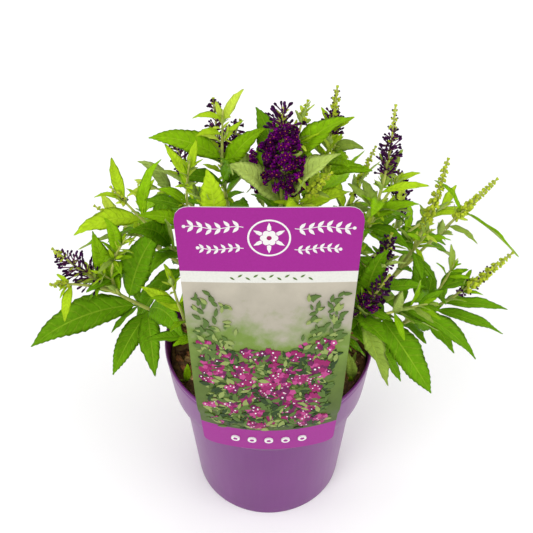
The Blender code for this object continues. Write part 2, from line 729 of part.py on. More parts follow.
def aimed_leaf(path, share, tip, breadth=1.0, grow=0.0):
    """A leaf that leaves a shoot at a share of its length and arches over to a place, facing the front."""
    place, axis = along(path, share)
    reach = Vector(tip) - place
    direction = (reach.normalized() + UP * AIMED_DROOP * 0.5).normalized()
    normal = normal_of(direction, UP * 0.8 + axis * 0.3 + FRONT * 0.5)
    return leaf_solid(place, direction, normal, reach.length, AIMED_DROOP, grow, breadth)


def tree_of(points, faces):
    return BVHTree.FromPolygons([tuple(p) for p in points], faces)


def tree_of_object(obj):
    return tree_of([v.co for v in obj.data.vertices], [tuple(p.vertices) for p in obj.data.polygons])


def outside(points):
    """False for anything in front of the card, or sunk in the pot."""
    for p in points:
        if p.y < -0.02 and abs(p.x) < 0.5 * CARD_TOP_WIDTH + CLEARANCE:
            lean = max(0.0, p.z - POT_HEIGHT) * math.tan(CARD_LEAN)
            if p.z > POT_HEIGHT - CARD_DROP and p.y < -RIM_RADIUS + lean + 0.012:
                return False
        if p.z < SOIL_TOP + 0.006 and math.hypot(p.x, p.y) < RIM_RADIUS + 0.003:
            return False
        if p.z < 0.100:
            return False
    return True


class Mass:
    """One mass of leaves and flowers, grown from the tip of its bough in a space of its own."""

    def __init__(self, name, fork, rise, shoots, seed):
        self.name = name
        self.rng = random.Random(seed)
        self.bough = bough_path(fork, rise)
        self.shoots = shoots
        self.solids = []
        self.trees = []
        self.paths = []
        self.heading = (self.bough[-1] - self.bough[-2]).normalized()
        start = self.bough[-1] + self.heading * GAP
        stem = shoot_path(start, self.heading, Vector(shoots[0].tip))
        for shoot in shoots:
            path = stem
            if shoot.share is not None:
                place, axis = along(stem, shoot.share)
                path = shoot_path(place, axis, Vector(shoot.tip))
            self.paths.append(path)

    def add(self, points, faces, guard=None):
        self.solids.append((points, faces))
        self.trees.append(tree_of(*(guard or (points, faces))))

    def grow_stems(self):
        for shoot, path in zip(self.shoots, self.paths):
            foot = BOUGH_TIP_RADIUS if shoot.share is None else SIDE_SHOOT_RADIUS

            def radius_of(share, _, foot=foot):
                return foot + (SHOOT_TIP_RADIUS - foot) * share

            sides = STEM_SIDES if shoot.share is None else TWIG_SIDES
            total = sum((b - a).length for a, b in zip(path, path[1:]))
            end = 1.0 - 0.4 * shoot.length / total
            reach = [along(path, end * k / STEM_STEPS)[0] for k in range(STEM_STEPS + 1)]
            if shoot.share is None:
                reach.insert(1, reach[0] + self.heading * BOUGH_TIP_RADIUS)
            self.add(*tube(reach, radius_of, sides))
            self.add(*flower_solid(path, shoot.kind, shoot.length))

    def place(self, guard, others, points, faces):
        """Adds a leaf unless its guard leaves the space or meets a neighbour."""
        tree = tree_of(*guard)
        if not outside(guard[0]) or any(tree.overlap(other) for other in others):
            return None
        self.add(points, faces, guard)
        return tree

    def aim_leaves(self, limbs, others):
        for shoot, path in zip(self.shoots, self.paths):
            for share, tip, *breadth in shoot.aimed:
                for shift in AIM_TRIES:
                    aim = (share, Vector(tip) + Vector(shift), *breadth)
                    if self.place(aimed_leaf(path, *aim, grow=CLEARANCE), limbs + others,
                                  *aimed_leaf(path, *aim)):
                        break

    def grow_leaves(self, limbs, others):
        for shoot, path in zip(self.shoots, self.paths):
            placed = []
            for leaf in leaves_of(path, shoot, self.rng):
                own = [tree for node, tree in placed if node != leaf["node"]]
                for roll, spread, size in LEAF_TRIES:
                    tree = self.place(leaf_of(leaf, roll, spread, size, CLEARANCE), limbs + others + own,
                                      *leaf_of(leaf, roll, spread, size))
                    if tree:
                        placed.append((leaf["node"], tree))
                        break

    def fuse(self, material):
        """Joins the mass's stems, leaves and flowers into one closed body."""
        pieces = bpy.data.collections.new(self.name)
        bpy.context.scene.collection.children.link(pieces)
        for index, (points, faces) in enumerate(self.solids[1:]):
            piece = object_of(f"piece_{index}", points, faces)
            bpy.context.scene.collection.objects.unlink(piece)
            pieces.objects.link(piece)
        body = object_of("foliage_" + self.name, *self.solids[0], material)
        join = body.modifiers.new("fuse", "BOOLEAN")
        join.operation = "UNION"
        join.operand_type = "COLLECTION"
        join.collection = pieces
        join.solver = "MANIFOLD"
        bpy.context.view_layer.update()
        apply_modifiers(body)
        for piece in list(pieces.objects):
            bpy.data.objects.remove(piece)
        bpy.data.collections.remove(pieces)
        keep_outer_shell(body)
        return body


def main():
    clear_scene()
    purple = finish_of("pot_plastic", (0.29, 0.07, 0.33), 0.38)
    brown = finish_of("soil", (0.045, 0.024, 0.014), 0.95)
    print_purple = finish_of("card_plastic", (0.45, 0.05, 0.40), 0.35)
    bark = finish_of("bark", (0.26, 0.17, 0.07), 0.85)
    green = finish_of("leaf_green", (0.13, 0.30, 0.03), 0.55)
    pot = make_pot(purple)
    soil = make_soil(brown)
    card = make_card(print_purple)
    trunk = make_trunk(bark)
    masses = []
    limbs = [tree_of_object(obj) for obj in (pot, soil, card, trunk)]
    for index, (name, (fork, rise, shoots)) in enumerate(MASSES.items()):
        mass = Mass(name, fork, rise, shoots, SEED + index)
        bough = make_bough("bough_" + name, mass.bough, trunk, bark)
        limbs.append(tree_of_object(bough))
        mass.grow_stems()
        masses.append(mass)
    for grow in (Mass.aim_leaves, Mass.grow_leaves):
        for mass in masses:
            others = [tree for other in masses if other is not mass for tree in other.trees]
            grow(mass, limbs, others)
    for mass in masses:
        mass.fuse(green)


main()
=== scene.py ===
"""Looks of a potted butterfly bush, laid out as a Blender add-on and run as a script.

Metres, +Z up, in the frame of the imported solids. The card is at the front, towards -Y.
The crown grows by the same seeded rule as the solids, and is carried on to finer twigs.
"""

import math
import random
from collections import namedtuple
from functools import cache

import bpy
import numpy as np
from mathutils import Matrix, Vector
from mathutils.bvhtree import BVHTree


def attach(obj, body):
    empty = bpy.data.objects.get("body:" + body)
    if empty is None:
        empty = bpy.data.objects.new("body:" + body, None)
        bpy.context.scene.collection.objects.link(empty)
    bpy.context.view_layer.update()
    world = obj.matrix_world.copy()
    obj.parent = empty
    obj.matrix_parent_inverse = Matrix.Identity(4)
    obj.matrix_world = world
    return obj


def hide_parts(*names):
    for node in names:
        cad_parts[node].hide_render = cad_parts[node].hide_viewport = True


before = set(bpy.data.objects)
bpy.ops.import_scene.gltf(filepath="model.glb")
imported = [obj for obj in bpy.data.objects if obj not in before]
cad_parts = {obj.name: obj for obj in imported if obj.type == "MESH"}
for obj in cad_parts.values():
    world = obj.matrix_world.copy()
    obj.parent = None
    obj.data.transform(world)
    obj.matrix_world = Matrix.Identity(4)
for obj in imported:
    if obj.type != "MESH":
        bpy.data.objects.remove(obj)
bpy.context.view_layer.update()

bl_info = {
    "name": "Potted butterfly bush",
    "version": (1, 0, 0),
    "blender": (4, 5, 0),
    "location": "View3D > Sidebar > Bush",
    "description": "Dresses the solids of a young butterfly bush, its pot and its picture card",
    "category": "Object",
}

# The pot
POT_HEIGHT = 0.166
RIM_RADIUS = 0.085
COLLAR_HEIGHT = 0.045
COLLAR_FOOT_RADIUS = 0.0805
BODY_TOP_RADIUS = 0.0733
BASE_RADIUS = 0.063
POT_WALL = 0.0016
POT_FLOOR = 0.0022
RIM_ROLL = 0.0024
DRAIN_HOLES = 4
DRAIN_RADIUS = 0.005
DRAIN_CIRCLE = 0.040

# The soil in it
SOIL_TOP = 0.151
SOIL_BUMP = 0.0025
SOIL_FLAT_RADIUS = 0.018

# The picture card and the tongue that hooks it on the rim
CARD_TOP_WIDTH = 0.131
CARD_FOOT_WIDTH = 0.104
CARD_THICKNESS = 0.0008
CARD_DROP = 0.039
CARD_RISE = 0.195
CARD_LEAN = math.radians(12.0)
CARD_CURVE = 0.140
CARD_CORNER = 0.011
TONGUE_WIDTH = 0.024
TONGUE_DEPTH = 0.011

# The woody foot of the bush and its boughs
GAP = 0.0003
TRUNK_HEIGHT = 0.040
TRUNK_FLARE_RADIUS = 0.014
TRUNK_RADIUS = 0.0085
TRUNK_TIP_RADIUS = 0.0062
TRUNK_LEAN = Vector((0.002, 0.003, 0.0))
BOUGH_FOOT_RADIUS = 0.0027
BOUGH_TIP_RADIUS = 0.0019
BOUGH_STEPS = 5

# Shoots, leaves and flowers
SHOOT_TIP_RADIUS = 0.0009
SIDE_SHOOT_RADIUS = 0.0014
STEM_SIDES = 4
STEM_STEPS = 5
TWIG_SIDES = 3
LEAF_WIDTH_SHARE = 0.34
LEAF_THICKNESS_SHARE = 0.018
LEAF_FOLD_SHARE = 0.045
# The guard of a leaf longer than each length is so wide at each share of its length
GUARD_STATIONS = (
    (0.072, ((0.18, 0.66), (0.42, 1.0), (0.74, 0.62))), (0.030, ((0.30, 0.94), (0.68, 0.74))),
    (0.0, ((0.42, 1.0),)))
FIRST_NODE_SHARE = 0.16
NODE_SPACING = 0.021
SPREAD_LOW = 68.0
SPREAD_HIGH = 34.0
SMALLEST_LEAF = 0.011
CLEARANCE = 0.0006
# How far a leaf strays from the rule: its roll in degrees, shares of its spread, length and droop, its twist
STRAY_ROLL = (-14.0, 14.0)
STRAY_SPREAD = (0.88, 1.12)
STRAY_LENGTH = (0.84, 1.10)
STRAY_DROOP = (0.55, 1.15)
STRAY_TWIST = (-0.35, 0.35)
# How near a leaf may come to the soil, the rim and the card, and how low it may hang
SOIL_CLEARANCE = 0.006
RIM_CLEARANCE = 0.003
CARD_CLEARANCE = 0.012
LOWEST_LEAF = 0.100
# Where a leaf's place is taken, it turns, closes towards its stem or stays smaller: roll, spread, size
LEAF_TRIES = (
    (0.0, 1.0, 1.0), (16.0, 1.0, 1.0), (-16.0, 1.0, 1.0), (0.0, 0.75, 1.0), (0.0, 1.25, 0.95),
    (30.0, 0.9, 0.9), (-30.0, 0.9, 0.9), (0.0, 0.7, 0.72), (44.0, 1.1, 0.72), (-44.0, 1.1, 0.72),
)
# Where an aimed leaf's place is taken, its tip moves by so many millimetres
AIM_TRIES = (
    (0, 0, 0), (0, 6, 5), (0, -6, -5), (4, 6, 0), (-4, 6, 0),
    (0, 0, 9), (0, 0, -9), (6, -9, 0), (-6, -9, 0), (0, 14, 12),
)
AIMED_DROOP = 0.55
FRONT = Vector((0.0, -1.0, 0.0))
DOWN = Vector((0.0, 0.0, -1.0))
UP = Vector((0.0, 0.0, 1.0))
SEED = 11

# The guard that keeps the space of each kind of flower: its radius, its tip's, how deep it is between its
# clusters, how it tapers, and how many clusters it has round it and along it
Flower = namedtuple("Flower", "radius tip_radius valley taper points rings")
FLOWERS = {
    "bloom": Flower(0.0195, 0.0050, 0.84, 0.50, 5, 5),
    "dark": Flower(0.0100, 0.0026, 0.60, 0.85, 4, 4),
    "green": Flower(0.0050, 0.0020, 0.62, 0.80, 3, 4),
    "tuft": Flower(0.0026, 0.0012, 0.75, 0.80, 2, 2),
}

# A shoot leaves the mass's stem at a share of its length, or is the stem itself where that is None.
# Its tip is a place, roll turns its first pair of leaves, leaf is its longest leaf, and the flower
# at its tip has a kind and a length. Each aimed leaf that follows has a share at which it leaves the
# shoot, the place of its tip and, where it isn't 1, its breadth. The table is in millimetres.
Shoot = namedtuple("Shoot", "share tip roll leaf kind length aimed")

# Each mass of foliage: where its bough ends, how high that bough leaves the trunk, and its shoots
MASSES = {
    "centre": ((6, 12, 232), 1.00, (
        (None, (10, 50, 366), 5, 66, "bloom", 66, (0.47, 39, 2, 350), (0.44, -15, 2, 344),
         (0.34, -3, 74, 350)),
        (0.16, (45, 14, 334), 50, 46, "green", 30),
        (0.30, (29, 76, 350), 20, 40, "green", 18, (0.50, 60, 72, 345)),
    )),
    "top_left": ((-22, 28, 228), 0.74, (
        (None, (-34, 62, 353), 15, 70, "tuft", 12, (0.92, -20, 72, 366), (0.94, -57, 58, 351),
         (0.84, -54, 48, 343), (0.68, -85, 44, 348), (0.60, -7, 52, 347), (0.46, -27, 14, 351)),
        (0.18, (-43, 100, 334), 60, 52, "dark", 44),
        (0.52, (-22, 82, 327), 30, 36, "dark", 34),
    )),
    "left_middle": ((-36, 4, 218), 0.60, (
        (None, (-118, 31, 304), 30, 62, "green", 16, (0.88, -119, 46, 321), (0.93, -131, 24, 302, 0.7),
         (0.72, -148, 8, 279), (0.72, -86, 36, 329), (0.46, -97, -10, 310), (0.44, -72, -12, 315),
         (0.36, -88, -26, 280)),
        (0.12, (-58, 28, 334), 10, 56, "tuft", 9, (0.86, -77, 42, 339), (0.88, -53, 40, 344),
         (0.66, -78, 14, 322), (0.50, -94, 4, 304)),
    )),
    "left_low": ((-60, -2, 184), 0.12, (
        (None, (-165, 8, 262), 60, 50, "dark", 46, (0.36, -189, -22, 181), (0.31, -89, -48, 176),
         (0.29, -122, -40, 168), (0.50, -135, 16, 269), (0.44, -87, 2, 280), (0.30, -64, -48, 236)),
        (0.50, (-107, -4, 284), 20, 32, "tuft", 8, (0.72, -116, 0, 304), (0.62, -128, -10, 270)),
        (0.52, (-165, -14, 246), 80, 26, "green", 14, (0.70, -156, -30, 221)),
    )),
    "back_right_top": ((26, 40, 226), 0.80, (
        (None, (52, 94, 350), 0, 58, "dark", 40),
        (0.34, (50, 56, 325), 60, 40, "tuft", 9, (0.80, 69, 46, 336), (0.80, 33, 52, 344),
         (0.55, 57, 30, 334)),
    )),
    "right_high": ((52, 2, 236), 0.66, (
        (None, (91, 47, 370), 0, 50, "dark", 54, (0.54, 118, 20, 318, 0.6), (0.50, 74, -14, 322),
         (0.34, 98, -24, 292), (0.40, 108, 8, 313), (0.56, 97, 40, 336)),
        (0.36, (98, 32, 314), 45, 44, "tuft", 8, (0.90, 110, 26, 325)),
    )),
    "right_middle": ((66, -4, 204), 0.42, (
        (None, (134, 44, 322), 30, 48, "green", 60),
        (0.24, (173, 42, 303), 10, 44, "green", 45, (0.68, 128, 34, 312, 0.6), (0.70, 189, 4, 255, 0.4),
         (0.56, 158, 4, 272)),
        (0.40, (118, -6, 296), 60, 42, "tuft", 9),
    )),
    "right_low": ((60, -16, 182), 0.05, (
        (None, (185, 2, 264), 40, 50, "green", 54, (0.50, 183, -20, 191), (0.56, 187, -10, 210)),
        (0.34, (138, -14, 268), 20, 50, "tuft", 9, (0.48, 131, -34, 250), (0.40, 110, -42, 262),
         (0.62, 148, -10, 262)),
    )),
    "front_right": ((40, -32, 196), 0.35, (
        (None, (89, -14, 300), 70, 50, "dark", 32, (0.50, 80, -30, 300)),
        (0.16, (87, -38, 282), 10, 44, "dark", 44),
        (0.24, (116, -48, 262), 20, 40, "tuft", 9, (0.46, 119, -73, 188), (0.72, 155, -48, 196)),
    )),
    "front": ((-10, -32, 212), 0.66, (
        (None, (-43, -12, 336), 30, 56, "tuft", 10, (0.80, -42, -4, 353, 1.3)),
        (0.24, (12, -26, 322), 0, 54, "tuft", 9),
    )),
    "front_left": ((-36, -34, 186), 0.18, (
        (None, (-72, -34, 276), 10, 46, "tuft", 9, (0.66, -96, -24, 256), (0.50, -105, -18, 252),
         (0.36, -70, -60, 232)),
    )),
    "left_back": ((-52, 34, 198), 0.34, (
        (None, (-142, 78, 240), 20, 76, "green", 26),
        (0.40, (-106, 92, 244), 60, 52, "tuft", 9),
    )),
    "back_left": ((-30, 56, 184), 0.10, (
        (None, (-82, 156, 246), 50, 84, "dark", 44),
        (0.40, (-108, 124, 222), 10, 56, "tuft", 9),
    )),
    "back": ((0, 60, 206), 0.50, (
        (None, (8, 136, 292), 15, 74, "bloom", 56),
        (0.40, (-30, 150, 228), 70, 52, "green", 16),
    )),
    "back_right": ((34, 54, 184), 0.08, (
        (None, (92, 150, 242), 30, 86, "green", 48),
        (0.40, (54, 160, 222), 60, 52, "tuft", 9),
    )),
    "right_back": ((58, 32, 202), 0.32, (
        (None, (150, 88, 234), 55, 72, "tuft", 10),
        (0.40, (108, 112, 248), 15, 52, "dark", 36),
    )),
}

# Finer twigs and small leaves, which only the looks carry
SPRIG_CHANCE = 0.32
SPRIG_REACH = (0.006, 0.013)
SPRIG_LEAF = (0.014, 0.023)
# Pairs of small leaves at a tip: how far under it each pair is, its length and how far it opens in degrees
ROSETTE = ((0.006, 0.018, 46.0), (0.001, 0.013, 34.0), (-0.004, 0.009, 20.0), (-0.008, 0.006, 9.0))
BRACTS = ((0.002, 0.016, 48.0), (-0.006, 0.010, 42.0))
# How much higher than in the solids an aimed leaf rises before it falls to the same tip
ARCH = 0.28
# How broad a mass's aimed leaves are and how long its others are next to the rule's, how far its leaves
# lean to the young tints, and how often a small one is greyish
Habit = namedtuple("Habit", "breadth length lean greyish", defaults=(1.0, 1.0, 0.0, 0.08))
HABITS = {
    "top_left": Habit(0.88, 0.62, 0.02), "back_right_top": Habit(0.90), "right_back": Habit(lean=-0.10),
    "right_high": Habit(0.85, 0.76, greyish=0.35), "right_middle": Habit(0.66, 0.64, -0.06, 0.28),
    "right_low": Habit(0.95, 0.95, -0.46), "front_right": Habit(1.06, 1.38, -0.60, 0.18),
    "centre": Habit(1.0, 1.12, 0.30, 0.22), "left_middle": Habit(0.86, 0.72, -0.06),
    "left_low": Habit(0.98, 0.84, -0.10), "front": Habit(0.95, 0.92, greyish=0.30),
    "front_left": Habit(0.90, 0.90, -0.05), "back_right": Habit(lean=-0.08),
}
# Single leaves whose breadth or length differs from their mass's, by their order in it
LEAF_FIT = {
    ("front_right", 2): (0.52, 1.0), ("left_middle", 2): (1.0, 1.0), ("left_middle", 3): (0.64, 1.0),
    ("right_middle", 1): (0.42, 1.0), ("right_low", 0): (0.50, 1.0), ("right_low", 1): (0.52, 1.0),
    ("right_back", 4): (1.0, 0.50), ("front_right", 3): (1.0, 0.60), ("front_right", 11): (1.0, 0.66),
}
CHIP_TINTS = {
    "chip_dark": (0.13, 0.062, 0.024), "chip_red": (0.42, 0.17, 0.060), "chip_tan": (0.48, 0.30, 0.13),
}
# Small shoots that come up through the soil at the wall: place, then heading, length and youth of each leaf
SPROUTS = (
    ((-0.0665, -0.0330), ((0.10, -0.05, 1.0), 0.026, 0.5), ((-0.25, -0.45, 0.9), 0.016, 0.7)),
    ((0.0670, -0.0350), ((-0.12, 0.15, 1.0), 0.034, 0.2), ((-0.12, -0.30, 0.9), 0.018, 0.6)),
    ((0.0640, -0.0200), ((0.25, 0.05, 1.0), 0.024, 0.3),),
    ((-0.0560, 0.0500), ((-0.20, 0.30, 1.0), 0.022, 0.4), ((0.35, 0.15, 0.8), 0.017, 0.6)),
    ((0.0480, 0.0570), ((0.20, 0.30, 1.0), 0.024, 0.4), ((-0.35, 0.10, 0.8), 0.018, 0.6)),
)

# A leaf's ring of points: how far across each is, how far below the blade's upper side in thicknesses,
# and the tint of the face after it: 0 upper side, 1 rib, 2 underside, 3 the underside's rib
FINE_COLUMNS = (
    (-1.0, 0.5, 0), (-0.56, 0.0, 0), (-0.045, 0.35, 1), (0.045, 0.35, 0), (0.56, 0.0, 0),
    (1.0, 0.5, 2), (0.56, 1.0, 2), (0.06, 1.9, 3), (-0.06, 1.9, 2), (-0.56, 1.0, 2))
PLAIN_COLUMNS = (
    (-1.0, 0.5, 0), (-0.52, 0.0, 0), (-0.05, 0.35, 1), (0.05, 0.35, 0), (0.52, 0.0, 0),
    (1.0, 0.5, 2), (0.05, 1.9, 3), (-0.05, 1.9, 2))
LEAF_STALK = 0.05
LEAF_SHAPE = (0.76, 1.14)
# From each length up, a leaf has so many rows of points and these columns
LEAF_MAKES = (
    (0.058, 32, FINE_COLUMNS), (0.040, 16, PLAIN_COLUMNS),
    (0.020, 8, PLAIN_COLUMNS), (0.0, 4, PLAIN_COLUMNS))
# The leaf tints; the first four follow each other at these ages
LEAF_TINTS = ("deep", "mid", "fresh", "young", "grey", "downy")
LEAF_AGES = (0.30, 0.62, 0.92)
# How far a leaf's tint strays from its age, the length from which leaves look older, how much older each
# metre makes them, and the length that greyish leaves stay under
TINT_STRAY, OLD_LENGTH, AGE_PER_METRE, GREYISH_UNDER = 0.22, 0.036, 7.0, 0.042
# Two aimed leaves are downy; each is turned by a step of its own, to lie flatter
DOWNY_LEAVES = {("centre", 0): (0.16, 0.24, 0.04), ("centre", 1): (-0.22, 0.24, 0.04)}
# The length of the leaf whose thickness and stalk the settings give
MEASURED_LEAF = 0.060
# How far a fine blade strays in its breadth, its bow to a side, its twist and the waves of its edge
FINE_BREADTH, FINE_BOW = (0.88, 1.06), (-0.30, 0.30)
FINE_TWIST, FINE_WAVE = (-0.55, 0.55), (0.012, 0.034)
# How uneven a leaf's teeth are, how far they lean forward as a share of a row, and the ripple of its edge
# in radians along it
TOOTH_UNEVENNESS, TOOTH_LEAN, LEAF_RIPPLES = (0.3, 1.5), 0.30, 15.0

# How wide a bloom is along its length, as a share of its radius
BLOOM_OUTLINE = ((0.08, 0.16, 0.26, 0.42, 0.60, 0.78, 1.00), (1.04, 1.24, 1.18, 0.88, 0.64, 0.48, 0.32))
# How far up its length a flower is open, how far up it is dark and closed (the rest is green), and how
# full it is: for each kind, and for single flowers by their mass and their shoot's order in it
RIPENESS = {
    "bloom": (0.80, 1.0, 1.0), "dark": (0.10, 1.0, 1.0), "green": (0.0, 0.0, 1.0),
    ("right_high", 0): (0.0, 0.68, 0.86), ("back_right_top", 0): (0.0, 0.45, 1.0),
    ("left_low", 0): (0.0, 0.86, 1.30), ("right_low", 0): (0.0, 0.14, 1.20),
    ("top_left", 1): (0.30, 1.0, 1.0), ("top_left", 2): (0.35, 1.0, 1.0),
    ("front_right", 0): (0.10, 1.0, 0.80), ("front_right", 1): (0.30, 1.0, 1.0),
    ("right_middle", 0): (0.0, 0.0, 1.22), ("right_middle", 1): (0.0, 0.0, 1.05),
    ("centre", 1): (0.0, 0.0, 1.25),
}
# Radii of the flowers' parts, from the slimmest to the broadest, and of the stalks that carry them
BLOOM_FLORET, SPIKE_FLORET = (0.0025, 0.0033), (0.0022, 0.0030)
BLOOM_CLUB, SPIKE_CLUB, TOP_CLUB = (0.00080, 0.00105), (0.00080, 0.00110), (0.00100, 0.00135)
TOP_CLUB_LENGTH = (0.0120, 0.0172)
SMALL_BUD = 0.0007
BLOOM_STALK, SPIKE_STALK = 0.0005, 0.0006
BLOOM_CLUSTERS_PER_METRE = 560
# The most and the least that a knob of buds reaches, and how far apart the whorls of a spike are
KNOB_REACH = (0.0072, 0.0018)
DARK_PITCH, GREEN_PITCH = 0.0037, 0.0035

# The card's zones from its foot up, each from a share of its length, and the inks of its print
CARD_LENGTH = CARD_DROP + CARD_RISE
CARD_ZONES = ((0.0, "foot"), (0.125, "panel"), (0.735, "cream"), (0.775, "head"))
PANEL_Z = (0.155, 0.300)
CARD_ROUGHNESS = 0.42
CARD_GLOSS = 0.22
CARD_FLATTENING = 16.0
FOOT_CORNER_SHARPNESS = 2.2
EMBLEM_HEIGHT = 0.2095
VINE_WIDTH = 0.00028
INK_ROOT = 0.00005
INK_LIFT = 0.00004
INK_STEP = 5e-7
INKS = {
    "white": (0.74, 0.73, 0.71), "pink": (0.44, 0.055, 0.22), "magenta": (0.27, 0.012, 0.11),
    "plum": (0.14, 0.008, 0.08), "leaf": (0.085, 0.15, 0.028), "leaf_dark": (0.022, 0.050, 0.010),
    "leaf_light": (0.25, 0.32, 0.09), "purple": None,
}

# The collar's foot, how far out chips may lie, and the turn from one cluster or blossom to the next
COLLAR_FOOT = POT_HEIGHT - COLLAR_HEIGHT
LITTER_REACH = 0.079
GOLDEN_TURN = 2.39996

# The camera that sees the bush as the photograph does
CAMERA_PLACE = (-0.0018, -0.611, 0.898)
CAMERA_TILT = 0.8141
CAMERA_LENS = 36.0 * 1163.7 / 533.0


def metres(place):
    return Vector([part / 1000.0 for part in place])


def turns_of(sides):
    """Even turns all the way round, from zero."""
    return [math.tau * j / sides for j in range(sides)]


def polar(radius, turn, x=0.0, y=0.0):
    """A point at a distance and a turn from another one."""
    return x + radius * math.cos(turn), y + radius * math.sin(turn)


def bend(start, control, end, steps):
    """Points along a quadratic curve."""
    shares = [k / steps for k in range(steps + 1)]
    return [start * (1 - t) ** 2 + control * (2 * t * (1 - t)) + end * t**2 for t in shares]


def reach_of(path):
    return sum((b - a).length for a, b in zip(path, path[1:]))


def along(path, share):
    """The place and direction at a share of a path's length."""
    spans = [(b - a).length for a, b in zip(path, path[1:])]
    left = share * sum(spans)
    for (a, b), span in zip(zip(path, path[1:]), spans):
        if left <= span:
            return a.lerp(b, left / span), (b - a).normalized()
        left -= span
    return path[-1].copy(), (path[-1] - path[-2]).normalized()


def side_of(axis):
    """A level direction square to an axis, or +X to a plumb one."""
    level = axis.cross(UP)
    if level.length < 0.25:
        level = Vector((1.0, 0.0, 0.0))
    return (level - axis * level.dot(axis)).normalized()


def tube(path, radius_of, sides):
    """Points and faces of a tapering tube with flat ends, square to the path."""
    points = []
    side = side_of((path[-1] - path[0]).normalized())
    last = len(path) - 1
    for k, centre in enumerate(path):
        before, after = path[max(k - 1, 0)], path[min(k + 1, last)]
        axis = (after - before).normalized()
        side = (side - axis * side.dot(axis)).normalized()
        other = axis.cross(side)
        for j, turn in enumerate(turns_of(sides)):
            points.append(centre + (side * math.cos(turn) + other * math.sin(turn)) * radius_of(k / last, j))
    edges = [(low + j, low + (j + 1) % sides) for low in range(0, last * sides, sides) for j in range(sides)]
    faces = [(a, b, b + sides, a + sides) for a, b in edges]
    return points, [*faces, range(sides - 1, -1, -1), range(last * sides, (last + 1) * sides)]


def bough_path(fork, rise):
    """A bough's curve, from inside the trunk to where its mass begins."""
    foot = Vector((0.0, 0.0, SOIL_TOP + TRUNK_HEIGHT * (0.16 + 0.70 * rise))) + TRUNK_LEAN * rise
    fork = metres(fork)
    reach = (fork - foot).length
    control = foot.lerp(fork, 0.45) + UP * reach * 0.10
    return bend(foot, control, fork, BOUGH_STEPS)


def shoot_path(start, direction, tip):
    reach = (tip - start).length
    towards = (tip - start).normalized()
    control = start + (direction * 0.6 + towards * 0.4) * reach * 0.45
    return bend(start, control, tip, 6)


# A blade's place, the way it leaves its stem, the way its upper side looks, its length, how far it
# arches, its breadth, and how young it is from 0 to 1
Blade = namedtuple("Blade", "place direction normal length droop breadth youth", defaults=(1.0, 0.5))

# A leaf before it has a place of its own: its shoot's place, axis and two sides there, and the rule's
# values for it
Leaf = namedtuple("Leaf", "place axis side other roll spread length droop twist youth node", defaults=(0,))


def blade_guard(blade, grow=0.0):
    """A closed blade of few faces, grown by a margin, which keeps a leaf's space."""
    place, direction, normal, length, droop, breadth, _ = blade
    half = 0.5 * LEAF_WIDTH_SHARE * length * breadth
    thick = 0.5 * LEAF_THICKNESS_SHARE * length + grow
    stations = next(rows for shortest, rows in GUARD_STATIONS if length > shortest)
    level = direction.cross(normal).normalized()
    points = [place.copy()]
    at = place.copy()
    before = 0.0
    for share, width in (*stations, (1.0, 0.0)):
        heading = (direction + DOWN * droop * 0.5 * (share + before)).normalized()
        at = at + heading * (share - before) * length
        before = share
        if width == 0.0:
            points.append(at + heading * grow)
            continue
        heading = (direction + DOWN * droop * share).normalized()
        over = level.cross(heading).normalized()
        wide = level * (half * width + grow)
        lift = over * LEAF_FOLD_SHARE * length * width
        points += [at + wide + lift, at + over * thick, at - wide + lift, at - over * thick]
    sides = [(n, (n + 1) % 4) for n in range(4)]
    tip = len(points) - 1
    last = tip - 4
    faces = [(0, 1 + n, 1 + m) for n, m in sides]
    faces += [(low + n, low + 4 + n, low + 4 + m, low + m) for low in range(1, last, 4) for n, m in sides]
    return points, faces + [(last + n, tip, last + m) for n, m in sides]


def flower_radius(flower, share):
    """How far a flower reaches from its spine at a share of its length."""
    swell = min(1.0, 0.55 + share * 4.0) * max(0.0, 1.0 - share) ** flower.taper
    return flower.tip_radius + (flower.radius - flower.tip_radius) * swell


def flower_spine(path, length, steps):
    first = max(0.05, 1.0 - length / reach_of(path))
    return [along(path, first + (1.0 - first) * k / steps)[0] for k in range(steps + 1)]


def flower_guard(path, kind, length):
    """The closed spike of few faces that keeps a flower's space."""
    flower = FLOWERS[kind]

    def radius_of(share, j):
        ring = round(share * flower.rings)
        if ring in (0, flower.rings):
            return flower.tip_radius * (0.35 if ring else 0.8)
        return flower_radius(flower, share) * (1.0 if (j + ring) % 2 else flower.valley)

    return tube(flower_spine(path, length, flower.rings), radius_of, 2 * flower.points)


def leaves_of(path, shoot, rng, spacing=NODE_SPACING):
    """The seeded rule: opposite pairs, each a quarter turn on, smaller and steeper towards the tip."""
    total = reach_of(path)
    free = max(0.25, 1.0 - 0.92 * shoot.length / total)
    first = FIRST_NODE_SHARE if shoot.share is None else FIRST_NODE_SHARE * 1.6
    nodes = max(2, round((free - first) * total / spacing) + 1)
    side = side_of((path[-1] - path[0]).normalized())
    for k in range(nodes):
        share = first + (free - first) * (k / (nodes - 1)) ** 0.85
        place, axis = along(path, share)
        side = (side - axis * side.dot(axis)).normalized()
        other = axis.cross(side)
        ripe = k / (nodes - 1)
        size = shoot.leaf * (1.0 - 0.58 * ripe**1.4)
        spread = math.radians(SPREAD_LOW + (SPREAD_HIGH - SPREAD_LOW) * ripe)
        for half_turn in (0.0, 180.0):
            roll = shoot.roll + 90.0 * k + half_turn + rng.uniform(*STRAY_ROLL)
            yield Leaf(place, axis, side, other, roll, spread * rng.uniform(*STRAY_SPREAD),
                       max(SMALLEST_LEAF, size * rng.uniform(*STRAY_LENGTH)),
                       rng.uniform(*STRAY_DROOP) * (0.35 + 11.0 * size), rng.uniform(*STRAY_TWIST), ripe, k)


def normal_of(direction, lean):
    """The way a blade's upper side looks: as near to lean as its direction lets it."""
    return (lean - direction * lean.dot(direction)).normalized()


def outward_of(leaf, roll=0.0):
    turn = math.radians(leaf.roll + roll)
    return leaf.side * math.cos(turn) + leaf.other * math.sin(turn)


